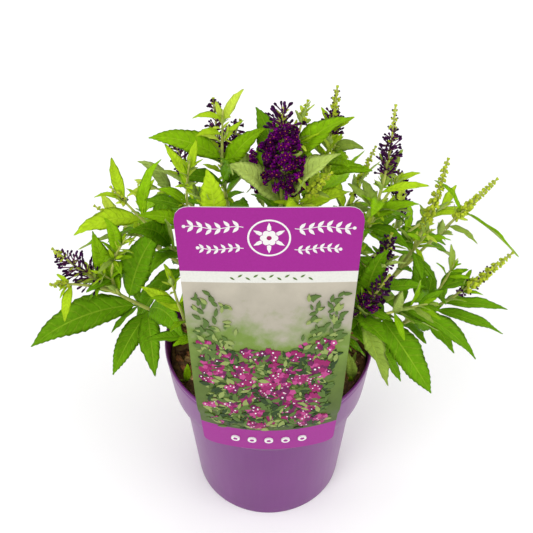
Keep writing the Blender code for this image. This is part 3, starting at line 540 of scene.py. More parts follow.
def blade_of(leaf, roll=0.0, spread=1.0, size=1.0):
    opening = leaf.spread * spread
    direction = (leaf.axis * math.cos(opening) + outward_of(leaf, roll) * math.sin(opening)).normalized()
    normal = normal_of(direction, UP * 0.8 + leaf.axis * 0.5)
    normal = (normal + direction.cross(normal) * leaf.twist).normalized()
    return Blade(leaf.place, direction, normal, leaf.length * size, leaf.droop, 1.0, leaf.youth)


def aimed_blade(path, share, tip, breadth=1.0):
    """A leaf that leaves a shoot at a share of its length and arches over to a place, facing the front."""
    place, axis = along(path, share)
    reach = tip - place
    direction = (reach.normalized() + UP * AIMED_DROOP * 0.5).normalized()
    normal = normal_of(direction, UP * 0.8 + axis * 0.3 + FRONT * 0.5)
    return Blade(place, direction, normal, reach.length, AIMED_DROOP, breadth, share)


def tree_of(points, faces):
    return BVHTree.FromPolygons(points, [list(face) for face in faces])


def tree_of_node(name):
    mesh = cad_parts[name].data
    return tree_of([vertex.co for vertex in mesh.vertices], [face.vertices for face in mesh.polygons])


def outside(points):
    """False for anything in front of the card, or sunk in the pot."""
    for p in points:
        if p.y < -0.02 and abs(p.x) < 0.5 * CARD_TOP_WIDTH + CLEARANCE:
            lean = max(0.0, p.z - POT_HEIGHT) * math.tan(CARD_LEAN)
            if p.z > POT_HEIGHT - CARD_DROP and p.y < -RIM_RADIUS + lean + CARD_CLEARANCE:
                return False
        if p.z < SOIL_TOP + SOIL_CLEARANCE and math.hypot(p.x, p.y) < RIM_RADIUS + RIM_CLEARANCE:
            return False
        if p.z < LOWEST_LEAF:
            return False
    return True


class Mass:
    """One mass of leaves and flowers, grown from the tip of its bough in a space of its own."""

    finer_rng = random.Random(SEED)

    def __init__(self, name, fork, rise, shoots, seed):
        self.name = name
        self.rng = random.Random(seed)
        self.bough = bough_path(fork, rise)
        self.habit = HABITS.get(name, Habit())
        self.shoots = [Shoot(share, metres(tip), roll, leaf / 1000, kind, length / 1000, aimed)
                       for share, tip, roll, leaf, kind, length, *aimed in shoots]
        self.trees, self.paths, self.blades, self.nodes, self.twigs = [], [], [], [], []
        self.heading = (self.bough[-1] - self.bough[-2]).normalized()
        start = self.bough[-1] + self.heading * GAP
        stem = shoot_path(start, self.heading, self.shoots[0].tip)
        for shoot in self.shoots:
            path = stem
            if shoot.share is not None:
                place, axis = along(stem, shoot.share)
                path = shoot_path(place, axis, shoot.tip)
            self.paths.append(path)
        self.keep_space_of_stems()

    def keep_space_of_stems(self):
        for shoot, path in zip(self.shoots, self.paths):
            foot = BOUGH_TIP_RADIUS if shoot.share is None else SIDE_SHOOT_RADIUS
            sides = STEM_SIDES if shoot.share is None else TWIG_SIDES
            end = 1.0 - 0.4 * shoot.length / reach_of(path)
            reach = [along(path, end * k / STEM_STEPS)[0] for k in range(STEM_STEPS + 1)]
            if shoot.share is None:
                reach.insert(1, reach[0] + self.heading * BOUGH_TIP_RADIUS)

            def radius_of(share, _, foot=foot):
                return foot + (SHOOT_TIP_RADIUS - foot) * share

            self.trees.append(tree_of(*tube(reach, radius_of, sides)))
            self.trees.append(tree_of(*flower_guard(path, shoot.kind, shoot.length)))

    def place(self, blade, taken):
        """Adds a leaf unless its guard leaves the space or meets a neighbour."""
        points, faces = blade_guard(blade, CLEARANCE)
        tree = tree_of(points, faces)
        if not outside(points) or any(tree.overlap(other) for other in taken):
            return None
        self.trees.append(tree)
        self.blades.append(blade)
        return tree

    def aim_leaves(self, taken):
        for shoot, path in zip(self.shoots, self.paths):
            for share, x, y, z, *breadth in shoot.aimed:
                for shift in AIM_TRIES:
                    blade = aimed_blade(path, share, metres((x, y, z)) + metres(shift), *breadth)
                    if self.place(blade, taken):
                        break

    def grow_leaves(self, taken):
        for shoot, path in zip(self.shoots, self.paths):
            placed = []
            for leaf in leaves_of(path, shoot, self.rng):
                self.nodes.append(leaf)
                own = [tree for node, tree in placed if node != leaf.node]
                for roll, spread, size in LEAF_TRIES:
                    tree = self.place(blade_of(leaf, roll, spread, size), taken + own)
                    if tree:
                        placed.append((leaf.node, tree))
                        break

    def grow_sprigs(self, taken):
        """Short side twigs out of the leaf axils, with small pairs of leaves by the same rule."""
        rng = self.finer_rng
        for leaf in self.nodes:
            if leaf.youth > 0.9 or rng.random() > SPRIG_CHANCE:
                continue
            reach = rng.uniform(*SPRIG_REACH) * (1.0 - 0.4 * leaf.youth)
            heading = (leaf.axis * 0.85 + outward_of(leaf, rng.uniform(-20.0, 20.0)) * 0.65).normalized()
            tip = leaf.place + heading * reach + UP * reach * 0.15
            path = shoot_path(leaf.place, heading, tip)
            sprig = Shoot(0.0, tip, rng.uniform(0.0, 180.0), rng.uniform(*SPRIG_LEAF), None, reach * 0.1, ())
            small = [blade_of(item)._replace(youth=rng.uniform(0.55, 1.1))
                     for item in leaves_of(path, sprig, rng, reach * 0.42)]
            if any([self.place(blade, taken) for blade in small]):
                self.twigs.append(path)

    def grow_rosettes(self, taken):
        """Closing pairs of small leaves at each leafy tip, and a pair of bracts under each flower."""
        rng = self.finer_rng
        for shoot, path in zip(self.shoots, self.paths):
            for k, (back, length, opening) in enumerate(ROSETTE if shoot.kind == "tuft" else BRACTS):
                share = 1.0 - (shoot.length * 0.9 + back) / reach_of(path)
                place, axis = along(path, max(0.1, share))
                side = side_of(axis)
                for half_turn in (0.0, 180.0):
                    roll = shoot.roll + 45.0 + 90.0 * k + half_turn + rng.uniform(-12.0, 12.0)
                    spread = math.radians(opening * rng.uniform(0.85, 1.2))
                    leaf = Leaf(place, axis, side, axis.cross(side), roll, spread,
                                length * rng.uniform(0.85, 1.15), rng.uniform(0.3, 0.8),
                                rng.uniform(-0.4, 0.4), rng.uniform(0.8, 1.2))
                    self.place(blade_of(leaf), taken)


def arched(mass, index, blade):
    """A leaf in its mass's habit: an aimed one leaves its shoot higher and falls lower, to the same tip."""
    slimmer, smaller = LEAF_FIT.get((mass.name, index), mass.habit[:2])
    if (mass.name, index) in DOWNY_LEAVES:
        turned = blade.direction + Vector(DOWNY_LEAVES[mass.name, index])
        return blade._replace(direction=turned.normalized(), length=blade.length * 0.98, breadth=1.08)
    if blade.droop != AIMED_DROOP:
        return blade._replace(length=blade.length * smaller)
    raised = (blade.direction + UP * ARCH * 0.5).normalized()
    return blade._replace(direction=raised, droop=AIMED_DROOP + ARCH, length=blade.length * 1.03,
                          breadth=blade.breadth * slimmer)


@cache
def grown_bush():
    """The bush's masses, grown once: the source's rule first, then the finer twigs."""
    limbs = [tree_of_node(name) for name in ("pot", "root_ball", "label_card", "main_stem")]
    limbs += [tree_of_node("bough_" + name) for name in MASSES]
    masses = [Mass(name, *row, SEED + index) for index, (name, row) in enumerate(MASSES.items())]
    for step in (Mass.aim_leaves, Mass.grow_leaves, Mass.grow_rosettes, Mass.grow_sprigs):
        for mass in masses:
            step(mass, limbs + [tree for other in masses if other is not mass for tree in other.trees])
    return masses


# Arrays of many small shapes

def unit(vectors):
    return vectors / np.maximum(np.linalg.norm(vectors, axis=-1, keepdims=True), 1e-12)


Template = namedtuple("Template", "points loops totals tints uvs", defaults=(None,))


def ring_faces(rows, sides, tints=None):
    """Corners, corner counts and tints of a closed tube: rows of rings, then a point at each end."""
    tints = tints or [0] * sides
    loops = []
    start, last = rows * sides, (rows - 1) * sides
    for j in range(sides):
        n = (j + 1) % sides
        loops += [start, n, j]
        for low in range(0, last, sides):
            face = [low + j, low + n, low + n + sides, low + j + sides]
            loops += face[1:] + face[:1] if tints[j] > 1 else face
        loops += [last + j, last + n, start + 1]
    return np.array(loops), np.array([3, *[4] * (rows - 1), 3] * sides), np.repeat(tints, rows + 1)


def lathe(profile, sides, row_tints=None):
    """A closed turned shape along +Z from (height, radius) rows, whose first and last have no radius."""
    points = [(*polar(radius, turn), height) for height, radius in profile[1:-1] for turn in turns_of(sides)]
    points += [(0.0, 0.0, profile[0][0]), (0.0, 0.0, profile[-1][0])]
    loops, totals, tints = ring_faces(len(profile) - 2, sides)
    return Template(np.array(points), loops, totals, np.array(row_tints * sides) if row_tints else tints)


def pad(outline, top, bottom, tint=0):
    """A closed pad: an outline with a raised and a lowered middle."""
    points = np.array([*outline, bottom, top], float)
    return Template(points, *ring_faces(1, len(outline), [tint] * len(outline)))


def merged(templates):
    starts = np.cumsum([0, *(len(item.points) for item in templates)])
    moved = [item._replace(loops=item.loops + start) for item, start in zip(templates, starts)]
    return Template(*(np.concatenate(part) for part in list(zip(*moved))[:4]))


def floret_template():
    """One open floret: a flaring tube along Z, four round lobes that bend back, and its throat."""
    parts = [lathe([(-1.0, 0.0), (-0.96, 0.12), (-0.04, 0.26), (0.0, 0.0)], 4, [1] * 3)]
    outline = [(0.12, 0.12), (0.39, 0.55), (0.27, 0.98), (-0.29, 0.96), (-0.38, 0.52), (-0.12, 0.12)]
    for turn in turns_of(4):
        cosine, sine = math.cos(turn), math.sin(turn)

        def place(x, y, lift):
            return (x * cosine - y * sine, x * sine + y * cosine, lift + 0.05 - 0.22 * y * y)

        ring = [place(x, y, 0.05 * (-1) ** k) for k, (x, y) in enumerate(outline)]
        parts.append(pad(ring, place(0.0, 0.55, 0.08), place(0.0, 0.55, -0.04)))
    hole = [(*polar(0.20, turn), 0.09) for turn in turns_of(5)]
    parts.append(pad(hole, (0.0, 0.0, 0.12), (0.0, 0.0, -0.02), 2))
    return merged(parts)


def club_template():
    """A closed flower: a thin tube along Z that swells to a round head."""
    rows = [(0.0, 0.0), (0.01, 0.40), (0.66, 0.50), (0.82, 1.0), (0.95, 0.84), (1.0, 0.0)]
    return lathe(rows, 5, [1, 1, 0, 0, 0])


def bud_template():
    return lathe([(0.0, 0.0), (0.06, 0.55), (0.40, 1.0), (0.76, 0.80), (1.0, 0.0)], 5)


def chip_template():
    """A splinter of bark: a box with uneven corners, along Z."""
    corners = [(-1.0, -0.7), (0.8, -1.0), (1.0, 0.6), (-0.6, 1.0)]
    low = [(x * 0.8, y, 0.0) for x, y in corners]
    high = [(x, y * 0.7, 1.0) for x, y in corners]
    loops, totals, tints = ring_faces(2, 4)
    return Template(np.array([*low, *high, (0.0, 0.0, -0.06), (0.1, 0.0, 1.05)]), loops, totals, tints)


class Heap:
    """Many small shapes gathered as arrays, which become one mesh."""

    def __init__(self):
        self.points, self.loops, self.totals, self.tints, self.uvs = [], [], [], [], []
        self.count = 0

    def add(self, points, template, tints=None):
        """Adds shapes of one template: points is an array of shapes by points by 3."""
        many, each = points.shape[:2]
        offsets = self.count + each * np.arange(many)
        self.points.append(points.reshape(-1, 3))
        self.loops.append((template.loops[None, :] + offsets[:, None]).reshape(-1))
        self.totals.append(np.tile(template.totals, many))
        self.tints.append(np.tile(template.tints, many) if tints is None else tints.reshape(-1))
        uvs = np.zeros((each, 2)) if template.uvs is None else template.uvs
        self.uvs.append(np.tile(uvs[template.loops], (many, 1)))
        self.count += many * each

    def stamp(self, template, places, headings, widths, lengths, spins=None, looks=None):
        """Adds copies of a template, its Z along each heading. looks gives each copy's own tints."""
        places, axis = np.array(places, float), unit(np.array(headings, float))
        widths, lengths = (np.array(sizes, float)[:, None, None] for sizes in (widths, lengths))
        helper = np.where(np.abs(axis[:, 2:]) > 0.9, [[1.0, 0.0, 0.0]], [[0.0, 0.0, 1.0]])
        side = unit(np.cross(helper, axis))
        other = np.cross(axis, side)
        spins = np.zeros(len(places)) if spins is None else np.array(spins, float)
        cosine, sine = np.cos(spins)[:, None], np.sin(spins)[:, None]
        side, other = side * cosine + other * sine, other * cosine - side * sine
        x, y, z = (template.points[None, :, axis_index, None] for axis_index in range(3))
        points = places[:, None] + (
            side[:, None] * x * widths + other[:, None] * y * widths + axis[:, None] * z * lengths)
        self.add(points, template, None if looks is None else np.array(looks)[:, template.tints])

    def tube(self, path, radii, sides, tints=None, relief=None):
        """Adds a round tube along a path, pointed at both ends."""
        path, radii = np.array(path, float), np.array(radii, float)
        axis = unit(np.gradient(path, axis=0))
        side = np.zeros_like(path)
        current = np.array(side_of(Vector(path[-1] - path[0]).normalized()))
        for k, direction in enumerate(axis):
            current = unit(current - direction * current.dot(direction))
            side[k] = current
        other = np.cross(axis, side)
        turns = math.tau * np.arange(sides) / sides
        rings = radii[:, None] * (np.ones((len(path), sides)) if relief is None else relief)
        points = path[:, None] + rings[..., None] * (
            side[:, None] * np.cos(turns)[None, :, None] + other[:, None] * np.sin(turns)[None, :, None])
        points = np.concatenate([points.reshape(-1, 3), path[:1], path[-1:] + axis[-1:] * radii[-1]])
        rows = np.tile([0, *range(len(path) - 1), len(path) - 1], sides)
        self.add(points[None], Template(points, *ring_faces(len(path), sides)),
                 None if tints is None else np.array(tints)[rows])

    def made(self, name, finishes, smooth=True):
        """One object of everything in the heap, with its finishes in the order of the tints."""
        mesh = bpy.data.meshes.new(name)
        points, loops, totals, tints, uvs = (
            np.concatenate(part) for part in (self.points, self.loops, self.totals, self.tints, self.uvs))
        starts = np.cumsum(totals) - totals
        mesh.vertices.add(len(points))
        mesh.vertices.foreach_set("co", points.astype(np.float32).ravel())
        mesh.loops.add(len(loops))
        mesh.loops.foreach_set("vertex_index", loops.astype(np.int32))
        mesh.polygons.add(len(totals))
        mesh.polygons.foreach_set("loop_start", starts.astype(np.int32))
        mesh.polygons.foreach_set("material_index", tints.astype(np.int32))
        mesh.polygons.foreach_set("use_smooth", np.full(len(totals), smooth))
        mesh.uv_layers.new(name="leaf").data.foreach_set("uv", uvs.astype(np.float32).ravel())
        mesh.update(calc_edges=True)
        mesh.validate()
        piece = bpy.data.objects.new(name, mesh)
        bpy.context.scene.collection.objects.link(piece)
        wear(piece, *finishes)
        return piece


# Leaves

def leaf_width(shares):
    """How wide a leaf is along its length, from its stalk over its broadest part to its drawn-out tip."""
    body = np.clip((shares - LEAF_STALK) / (1.0 - LEAF_STALK), 0.0, 1.0)
    low, high = LEAF_SHAPE
    peak = low / (low + high)
    return (body / peak) ** low * ((1.0 - body) / (1.0 - peak)) ** high


def leaf_shares(rows):
    """Where along a leaf its rows of points are: closer together near both ends."""
    even = np.linspace(0.0, 1.0, rows + 2)
    return 0.72 * even + 0.28 * (0.5 - 0.5 * np.cos(math.pi * even))


def leaf_template(rows, columns):
    shares = leaf_shares(rows)
    loops, totals, tints = ring_faces(rows, len(columns), [tint for _, _, tint in columns])
    across = np.array([u for u, _, _ in columns]) * 0.5 + 0.5
    uvs = np.stack(np.broadcast_arrays(across[None, :], shares[1:-1, None]), -1).reshape(-1, 2)
    uvs = np.concatenate([uvs, [(0.5, 0.0), (0.5, 1.0)]])
    return Template(np.zeros((len(uvs), 3)), loops, totals, tints, uvs)


def leaf_ribs(place, direction, level, length, droop, bow, twist, shares):
    """Along each leaf's rib: its points and headings, and the ways across and up from the blade there."""

    def heading_at(share):
        return unit(direction[:, None] + np.array(DOWN) * (droop[:, None] * share)[..., None]
                    + level[:, None] * (bow[:, None] * (share - 0.4))[..., None])

    middles = heading_at(((shares[:-1] + shares[1:]) * 0.5)[None, :])
    steps = np.diff(shares)[None, :, None]
    centres = place[:, None] + np.cumsum(middles * steps, axis=1) * length[:, None, None]
    inner = shares[None, 1:-1]
    heading = heading_at(inner)
    over = unit(np.cross(level[:, None], heading))
    across = np.cross(heading, over)
    turn = (twist[:, None] * inner**1.5)[..., None]
    cosine, sine = np.cos(turn), np.sin(turn)
    return centres, heading, across * cosine + over * sine, over * cosine - across * sine


def leaf_points(blades, rows, columns, settings, rng):
    """The fine blades of leaves, all of as many rows, as an array of leaves by points by 3."""
    many = len(blades)
    place, direction, normal, length, droop, breadth, youth = (
        np.array(part, float) for part in zip(*blades))
    slim = 1.0 - settings.young_slimness * np.clip(youth, 0.0, 1.0)
    breadth = breadth * slim * rng.uniform(*FINE_BREADTH, many)
    level = unit(np.cross(direction, normal))
    bow, twist = rng.uniform(*FINE_BOW, many), rng.uniform(*FINE_TWIST, many)
    wave, phase = rng.uniform(*FINE_WAVE, many), rng.uniform(0.0, math.tau, (many, 2))
    shares = leaf_shares(rows)
    centres, heading, across, over = leaf_ribs(place, direction, level, length, droop, bow, twist, shares)
    inner = shares[None, 1:-1]
    width = leaf_width(inner)
    growth = np.sqrt(length / MEASURED_LEAF)
    half = np.maximum(0.5 * settings.leaf_width_share * (length * breadth)[:, None] * width,
                      (settings.stalk_radius * growth)[:, None])
    thick = settings.leaf_thickness * growth
    points = np.zeros((many, rows, len(columns), 3))
    teeth = np.arange(rows) % 2
    for column, (u, depth, _) in enumerate(columns):
        reach = half * u
        forward = np.zeros((many, rows))
        if abs(u) == 1.0:
            tooth = settings.tooth_depth * rng.uniform(*TOOTH_UNEVENNESS, (many, rows))
            reach = reach * np.where(teeth[None, :], 1.0 + tooth, 1.0 - 0.4 * tooth)
            forward = forward + teeth * TOOTH_LEAN * length[:, None] / rows
        fold = settings.leaf_fold * length[:, None] * width * abs(u) * (1.35 - 0.60 * abs(u))
        side_phase = phase[:, :1] if u < 0.0 else phase[:, 1:]
        ripple = (wave * length)[:, None] * abs(u) ** 1.5 * np.sin(side_phase + LEAF_RIPPLES * inner)
        lift = fold + ripple * width - depth * thick[:, None]
        points[:, :, column] = (centres[:, :-1] + across * reach[..., None] + over * lift[..., None]
                                + heading * forward[..., None])
    return np.concatenate([points.reshape(many, -1, 3), place[:, None], centres[:, -1:]], axis=1)


def tint_of(mass, index, blade, rng):
    """Which of the leaf tints a leaf has: older ones are deeper, and each mass leans its own way."""
    lean = mass.habit.lean + rng.uniform(-TINT_STRAY, TINT_STRAY)
    age = blade.youth + lean - AGE_PER_METRE * max(0.0, blade.length - OLD_LENGTH)
    greyish = rng.random() < mass.habit.greyish and blade.length < GREYISH_UNDER
    if (mass.name, index) in DOWNY_LEAVES:
        return "downy"
    return "grey" if greyish else LEAF_TINTS[sum(age > edge for edge in LEAF_AGES)]


# Flowers

def fan(axis, out, rise_deg, spread_deg):
    """A heading that leaves an axis outwards, raised and turned by two angles."""
    across = axis.cross(out)
    rise, spread = math.radians(rise_deg), math.radians(spread_deg)
    level = out * math.cos(spread) + across * math.sin(spread)
    return (level * math.cos(rise) + axis * math.sin(rise)).normalized()


class Spike:
    """Fills one flower's space with florets, closed clubs and green buds, in whorls up its spine."""

    def __init__(self, path, shoot, ripeness, rng):
        self.rng = rng
        self.open_to, self.dark_to, fullness = ripeness
        self.is_dark = self.dark_to > 0.2
        self.radius = FLOWERS[shoot.kind].radius * fullness
        self.length = shoot.length
        self.path = path
        self.first = max(0.05, 1.0 - shoot.length / reach_of(path))
        self.florets, self.clubs, self.buds, self.stalks = [], [], [], []

    def spot(self, share, turn):
        """The spine's place and axis at a share of the flower's length, and the way outwards at a turn."""
        place, axis = along(self.path, min(0.9999, self.first + (1.0 - self.first) * share))
        side = side_of(axis)
        return place, axis, side * math.cos(turn) + axis.cross(side) * math.sin(turn)

    def fill_bloom(self, count):
        """A ragged cone of side clusters of open florets, with closed clubs that stand out at its top."""
        rng = self.rng
        for k in range(count):
            share = 0.10 + 0.62 * ((k + 0.5) / count) ** 1.15
            place, axis, out = self.spot(share, k * GOLDEN_TURN + rng.uniform(-0.3, 0.3))
            radius = self.radius * float(np.interp(share, *BLOOM_OUTLINE)) * rng.uniform(0.74, 1.16)
            arm = fan(axis, out, -6.0 + 42.0 * share + rng.uniform(-8.0, 8.0), 0.0)
            hub = place + arm * radius * 0.50
            self.stalks.append((place, hub, BLOOM_STALK))
            if k % 2:
                self.buds.append((hub, arm, SMALL_BUD, radius * 0.20))
            self.floret_cluster(hub, arm, radius, share)
        self.fill_bloom_top(round(count * 0.85))

    def floret_cluster(self, hub, arm, radius, share):
        """Florets that open round a side branch's end, with a few closed clubs, more of them higher up."""
        rng = self.rng
        for _ in range(8):
            turn = Vector([rng.uniform(-1, 1) for _ in range(3)])
            heading = (arm * 0.85 + turn.normalized() * 0.95).normalized()
            length = radius * rng.uniform(0.36, 0.54)
            if rng.random() < 0.10 + 0.5 * max(0.0, share - 0.5):
                self.clubs.append((hub, heading, rng.uniform(*BLOOM_CLUB), length * 1.1))
            else:
                face = (heading + turn * 0.25 + arm * 0.3).normalized()
                self.florets.append((hub + heading * length, face, rng.uniform(*BLOOM_FLORET), length))

    def fill_bloom_top(self, count):
        """Closed clubs that stand out all round a bloom's upper part, with small buds among them."""
        rng = self.rng
        for k in range(count):
            up = (k + 0.5) / count
            place, axis, out = self.spot(0.62 + 0.32 * up, k * GOLDEN_TURN)
            heading = fan(axis, out, rng.uniform(8.0, 40.0) + 28.0 * up**1.5, rng.uniform(-24.0, 24.0))
            width = rng.uniform(*TOP_CLUB)
            self.clubs.append((place, heading, width, rng.uniform(*TOP_CLUB_LENGTH) * (1.1 - 0.40 * up)))
            if k % 2:
                aside = fan(heading, side_of(heading), 70.0, 0.0)
                self.buds.append((place, aside, SMALL_BUD, rng.uniform(0.004, 0.007)))

    def reach(self, share):
        """How far a spike's flowers stand out: full for most of its length, then round to the tip."""
        fullness = 0.30 + 0.70 * min(1.0, 0.72 + share * 2.0) * max(0.0, 1.0 - share**1.7) ** 0.8
        return self.radius * fullness * (1.22 if self.is_dark else 1.0)

    def fill_spike(self):
        """Pairs of clusters, each pair a quarter turn from the last, riper towards the foot."""
        rng = self.rng
        whorls = max(4, round(self.length / (DARK_PITCH if self.is_dark else GREEN_PITCH)))
        for k in range(whorls):
            share = 0.02 + 0.96 * (k / whorls) ** 0.95
            for half in (0.0, math.pi):
                spot = self.spot(share, math.radians(90.0 * k) + half + rng.uniform(-0.3, 0.3))
                dark = share < self.dark_to + rng.uniform(-0.07, 0.05)
                (self.club_cluster if dark else self.bud_cluster)(*spot, self.reach(share), share)
        for k in range(6):
            tip, axis, out = self.spot(0.97, k * 1.3)
            self.buds.append((tip, fan(axis, out, 66.0, 0.0), SMALL_BUD, 0.0026))

    def club_cluster(self, place, axis, out, reach, share):
        rng = self.rng
        near_edge = max(0.0, 1.0 - abs(self.dark_to - share) / 0.18) if self.dark_to < 1.0 else 0.0
        reach = max(0.0046, reach * (1.0 - 0.38 * near_edge))
        hub = place + out * reach * 0.12
        for j in range(rng.choice((4, 5, 5, 6))):
            heading = fan(axis, out, rng.uniform(0.0, 58.0), rng.uniform(-62.0, 62.0))
            length = reach * rng.uniform(0.62, 1.08)
            if share < self.open_to and rng.random() < 0.5:
                self.florets.append((hub + heading * length, heading, rng.uniform(*SPIKE_FLORET), length))
            else:
                self.clubs.append((hub, heading, rng.uniform(*SPIKE_CLUB), length))
        if rng.random() < 0.5:
            heading = fan(axis, out, rng.uniform(-10.0, 40.0), rng.uniform(-60.0, 60.0))
            self.buds.append((hub, heading, 0.0009, reach * 0.5))

    def bud_cluster(self, place, axis, out, reach, share):
        """A knob of small round buds on a short stalk, some of them with a dark tip."""
        rng = self.rng
        most, least = KNOB_REACH
        reach = min(most, max(least, reach * (0.48 if self.is_dark else 1.0)))
        reach *= rng.uniform(0.86, 1.12)
        hub = place + out * reach * 0.36 + axis * reach * 0.10
        self.stalks.append((place, hub, SPIKE_STALK))
        for j in range(9):
            heading = fan(axis, out, rng.uniform(-40.0, 80.0), rng.uniform(-85.0, 85.0))
            radius = reach * rng.uniform(0.20, 0.27)
            self.buds.append((hub, heading, radius, reach * rng.uniform(0.50, 0.70)))
        if self.dark_to > 0.0 and share < self.dark_to + 0.50 or rng.random() < 0.06:
            heading = fan(axis, out, rng.uniform(0.0, 50.0), rng.uniform(-60.0, 60.0))
            self.clubs.append((hub, heading, 0.0008, reach * 0.78))


@cache
def grown_flowers():
    """Every flower of the bush, filled once."""
    rng = random.Random(SEED + 7)
    flowers = []
    for mass in grown_bush():
        for index, (shoot, path) in enumerate(zip(mass.shoots, mass.paths)):
            if shoot.kind == "tuft":
                continue
            spike = Spike(path, shoot, RIPENESS.get((mass.name, index), RIPENESS[shoot.kind]), rng)
            if shoot.kind == "bloom":
                spike.fill_bloom(round(BLOOM_CLUSTERS_PER_METRE * shoot.length))
            else:
                spike.fill_spike()
            flowers.append(spike)
    return flowers


# Finishes

class Finish:
    """A material with its shader, and a short way to add and join nodes."""

    def __init__(self, name, colour, roughness, **sockets):
        self.material = bpy.data.materials.new(name)
        self.material.use_nodes = True
        self.tree = self.material.node_tree
        self.shader = self.tree.nodes["Principled BSDF"]
        self.tint = tuple(colour)
        self.fill(self.shader, Base_Color=(*colour, 1.0), Roughness=roughness, **sockets)

    def fill(self, node, **sockets):
        for socket, value in sockets.items():
            self.feed(node.inputs[socket.replace("_", " ")], value)
        return node

    def node(self, kind, settings=None, **sockets):
        made = self.tree.nodes.new("ShaderNode" + kind)
        for key, value in (settings or {}).items():
            setattr(made, key, value)
        return self.fill(made, **sockets)

    def feed(self, socket, value):
        if isinstance(value, bpy.types.NodeSocket):
            self.tree.links.new(value, socket)
        else:
            socket.default_value = value

    def place(self):
        """The point on the object."""
        return self.node("TexCoord").outputs["Object"]

    def noise(self, scale, detail=3.0, roughness=0.55, stretch=(1.0, 1.0, 1.0)):
        place = self.node("Mapping", Vector=self.place(), Scale=stretch).outputs["Vector"]
        made = self.node("TexNoise", Vector=place, Scale=scale, Detail=detail, Roughness=roughness)
        return made.outputs["Fac"]

    def streaks(self, across, upright, detail=5.0):
        """Noise that is drawn out along the upright axis."""
        return self.noise(1.0, detail, stretch=(across, across, upright))

    def maths(self, kind, *values):
        made = self.node("Math", {"operation": kind})
        for socket, value in zip(made.inputs, values):
            self.feed(socket, value)
        return made.outputs[0]

    def off_half(self, value):
        """How far a value is from a half, either way."""
        return self.maths("ABSOLUTE", self.maths("SUBTRACT", value, 0.5))

    def ranged(self, value, **ends):
        return self.node("MapRange", Value=value, **ends).outputs["Result"]

    def ramp(self, factor, stops):
        made = self.node("ValToRGB", Fac=factor)
        elements = made.color_ramp.elements
        while len(elements) < len(stops):
            elements.new(0.5)
        for element, (position, colour) in zip(elements, stops):
            element.position = position
            element.color = (*colour, 1.0)
        return made.outputs["Color"]

    def tones(self, factor, *stops):
        """The finish's own tint, made deeper or paler: each stop is a position and a share of the tint."""
        return self.ramp(factor, [(position, shade(self.tint, tone)) for position, tone in stops])

    def mix(self, factor, first, second):
        made = self.node("Mix", {"data_type": "RGBA"})
        self.feed(made.inputs[0], factor)
        self.feed(made.inputs[6], first)
        self.feed(made.inputs[7], (*second, 1.0))
        return made.outputs[2]

    def made(self, colour, height, strength, distance):
        """The material, with its colour and its relief joined to the shader."""
        relief = self.node("Bump", Height=height, Strength=strength, Distance=distance)
        self.fill(self.shader, Base_Color=colour, Normal=relief.outputs["Normal"])
        return self.material


def shade(colour, factor):
    return tuple(min(1.0, c * factor) for c in colour)


def mottled(name, colour, roughness, scale, depth=0.18, **sockets):
    """A plain tint with a soft unevenness, the usual finish of small parts of the plant."""
    finish = Finish(name, colour, roughness, **sockets)
    tint = finish.tones(finish.noise(scale), (0.3, 1.0 - depth), (0.7, 1.0 + depth))
    return finish.made(tint, finish.noise(scale * 12.0), strength=0.25, distance=0.0002)


def mottled_all(tints, roughness, gloss, depth=0.18):
    """Mottled finishes of the flowers' small parts, from their names and tints."""
    return [mottled(name, tint, roughness, 300.0, depth, Specular_IOR_Level=gloss)
            for name, tint in tints.items()]


def pot_finish(settings):
    """Satin moulded plastic: even, with a fine grain and a soft unevenness in its gloss."""
    rough = settings.pot_roughness
    finish = Finish("pot_plastic", settings.pot_colour, rough, Specular_IOR_Level=0.25,
                    Coat_Weight=settings.pot_sheen, Coat_Roughness=0.28, Coat_IOR=1.40)
    tint = finish.tones(finish.noise(14.0, 2.0), (0.30, 0.93), (0.72, 1.07))
    streaks = finish.streaks(260.0, 9.0, 4.0)
    spread = finish.ranged(streaks, To_Min=rough - 0.05, To_Max=rough + 0.08)
    finish.fill(finish.shader, Roughness=spread)
    grain = finish.maths("MULTIPLY_ADD", streaks, 0.35, finish.noise(1500.0, 2.0))
    return finish.made(tint, grain, strength=0.10, distance=0.0003)


def soil_finish():
    finish = Finish("soil", (0.03, 0.017, 0.009), 0.95)
    crumbs = finish.noise(160.0, 8.0, 0.7)
    tint = finish.ramp(crumbs, [(0.30, (0.050, 0.028, 0.010)), (0.50, (0.165, 0.088, 0.030)),
                                (0.66, (0.26, 0.145, 0.050)), (0.80, (0.40, 0.26, 0.100))])
    return finish.made(tint, finish.noise(420.0, 8.0, 0.7), strength=0.9, distance=0.0016)


def chip_finish(name, colour):
    finish = Finish(name, colour, 0.85)
    grain = finish.streaks(500.0, 160.0)
    tint = finish.tones(grain, (0.30, 0.45), (0.70, 1.35))
    return finish.made(tint, grain, strength=0.6, distance=0.0006)


def bark_finish(name, colour):
    """Tan bark that peels in thin upright strips."""
    finish = Finish(name, colour, 0.82)
    strips = finish.streaks(620.0, 70.0)
    tan = finish.tones(strips, (0.30, 0.42), (0.52, 1.0), (0.74, 1.55))
    patches = finish.maths("MULTIPLY", finish.noise(180.0), 0.6)
    tint = finish.mix(patches, tan, shade(colour, 0.6))
    return finish.made(tint, strips, strength=0.7, distance=0.0008)


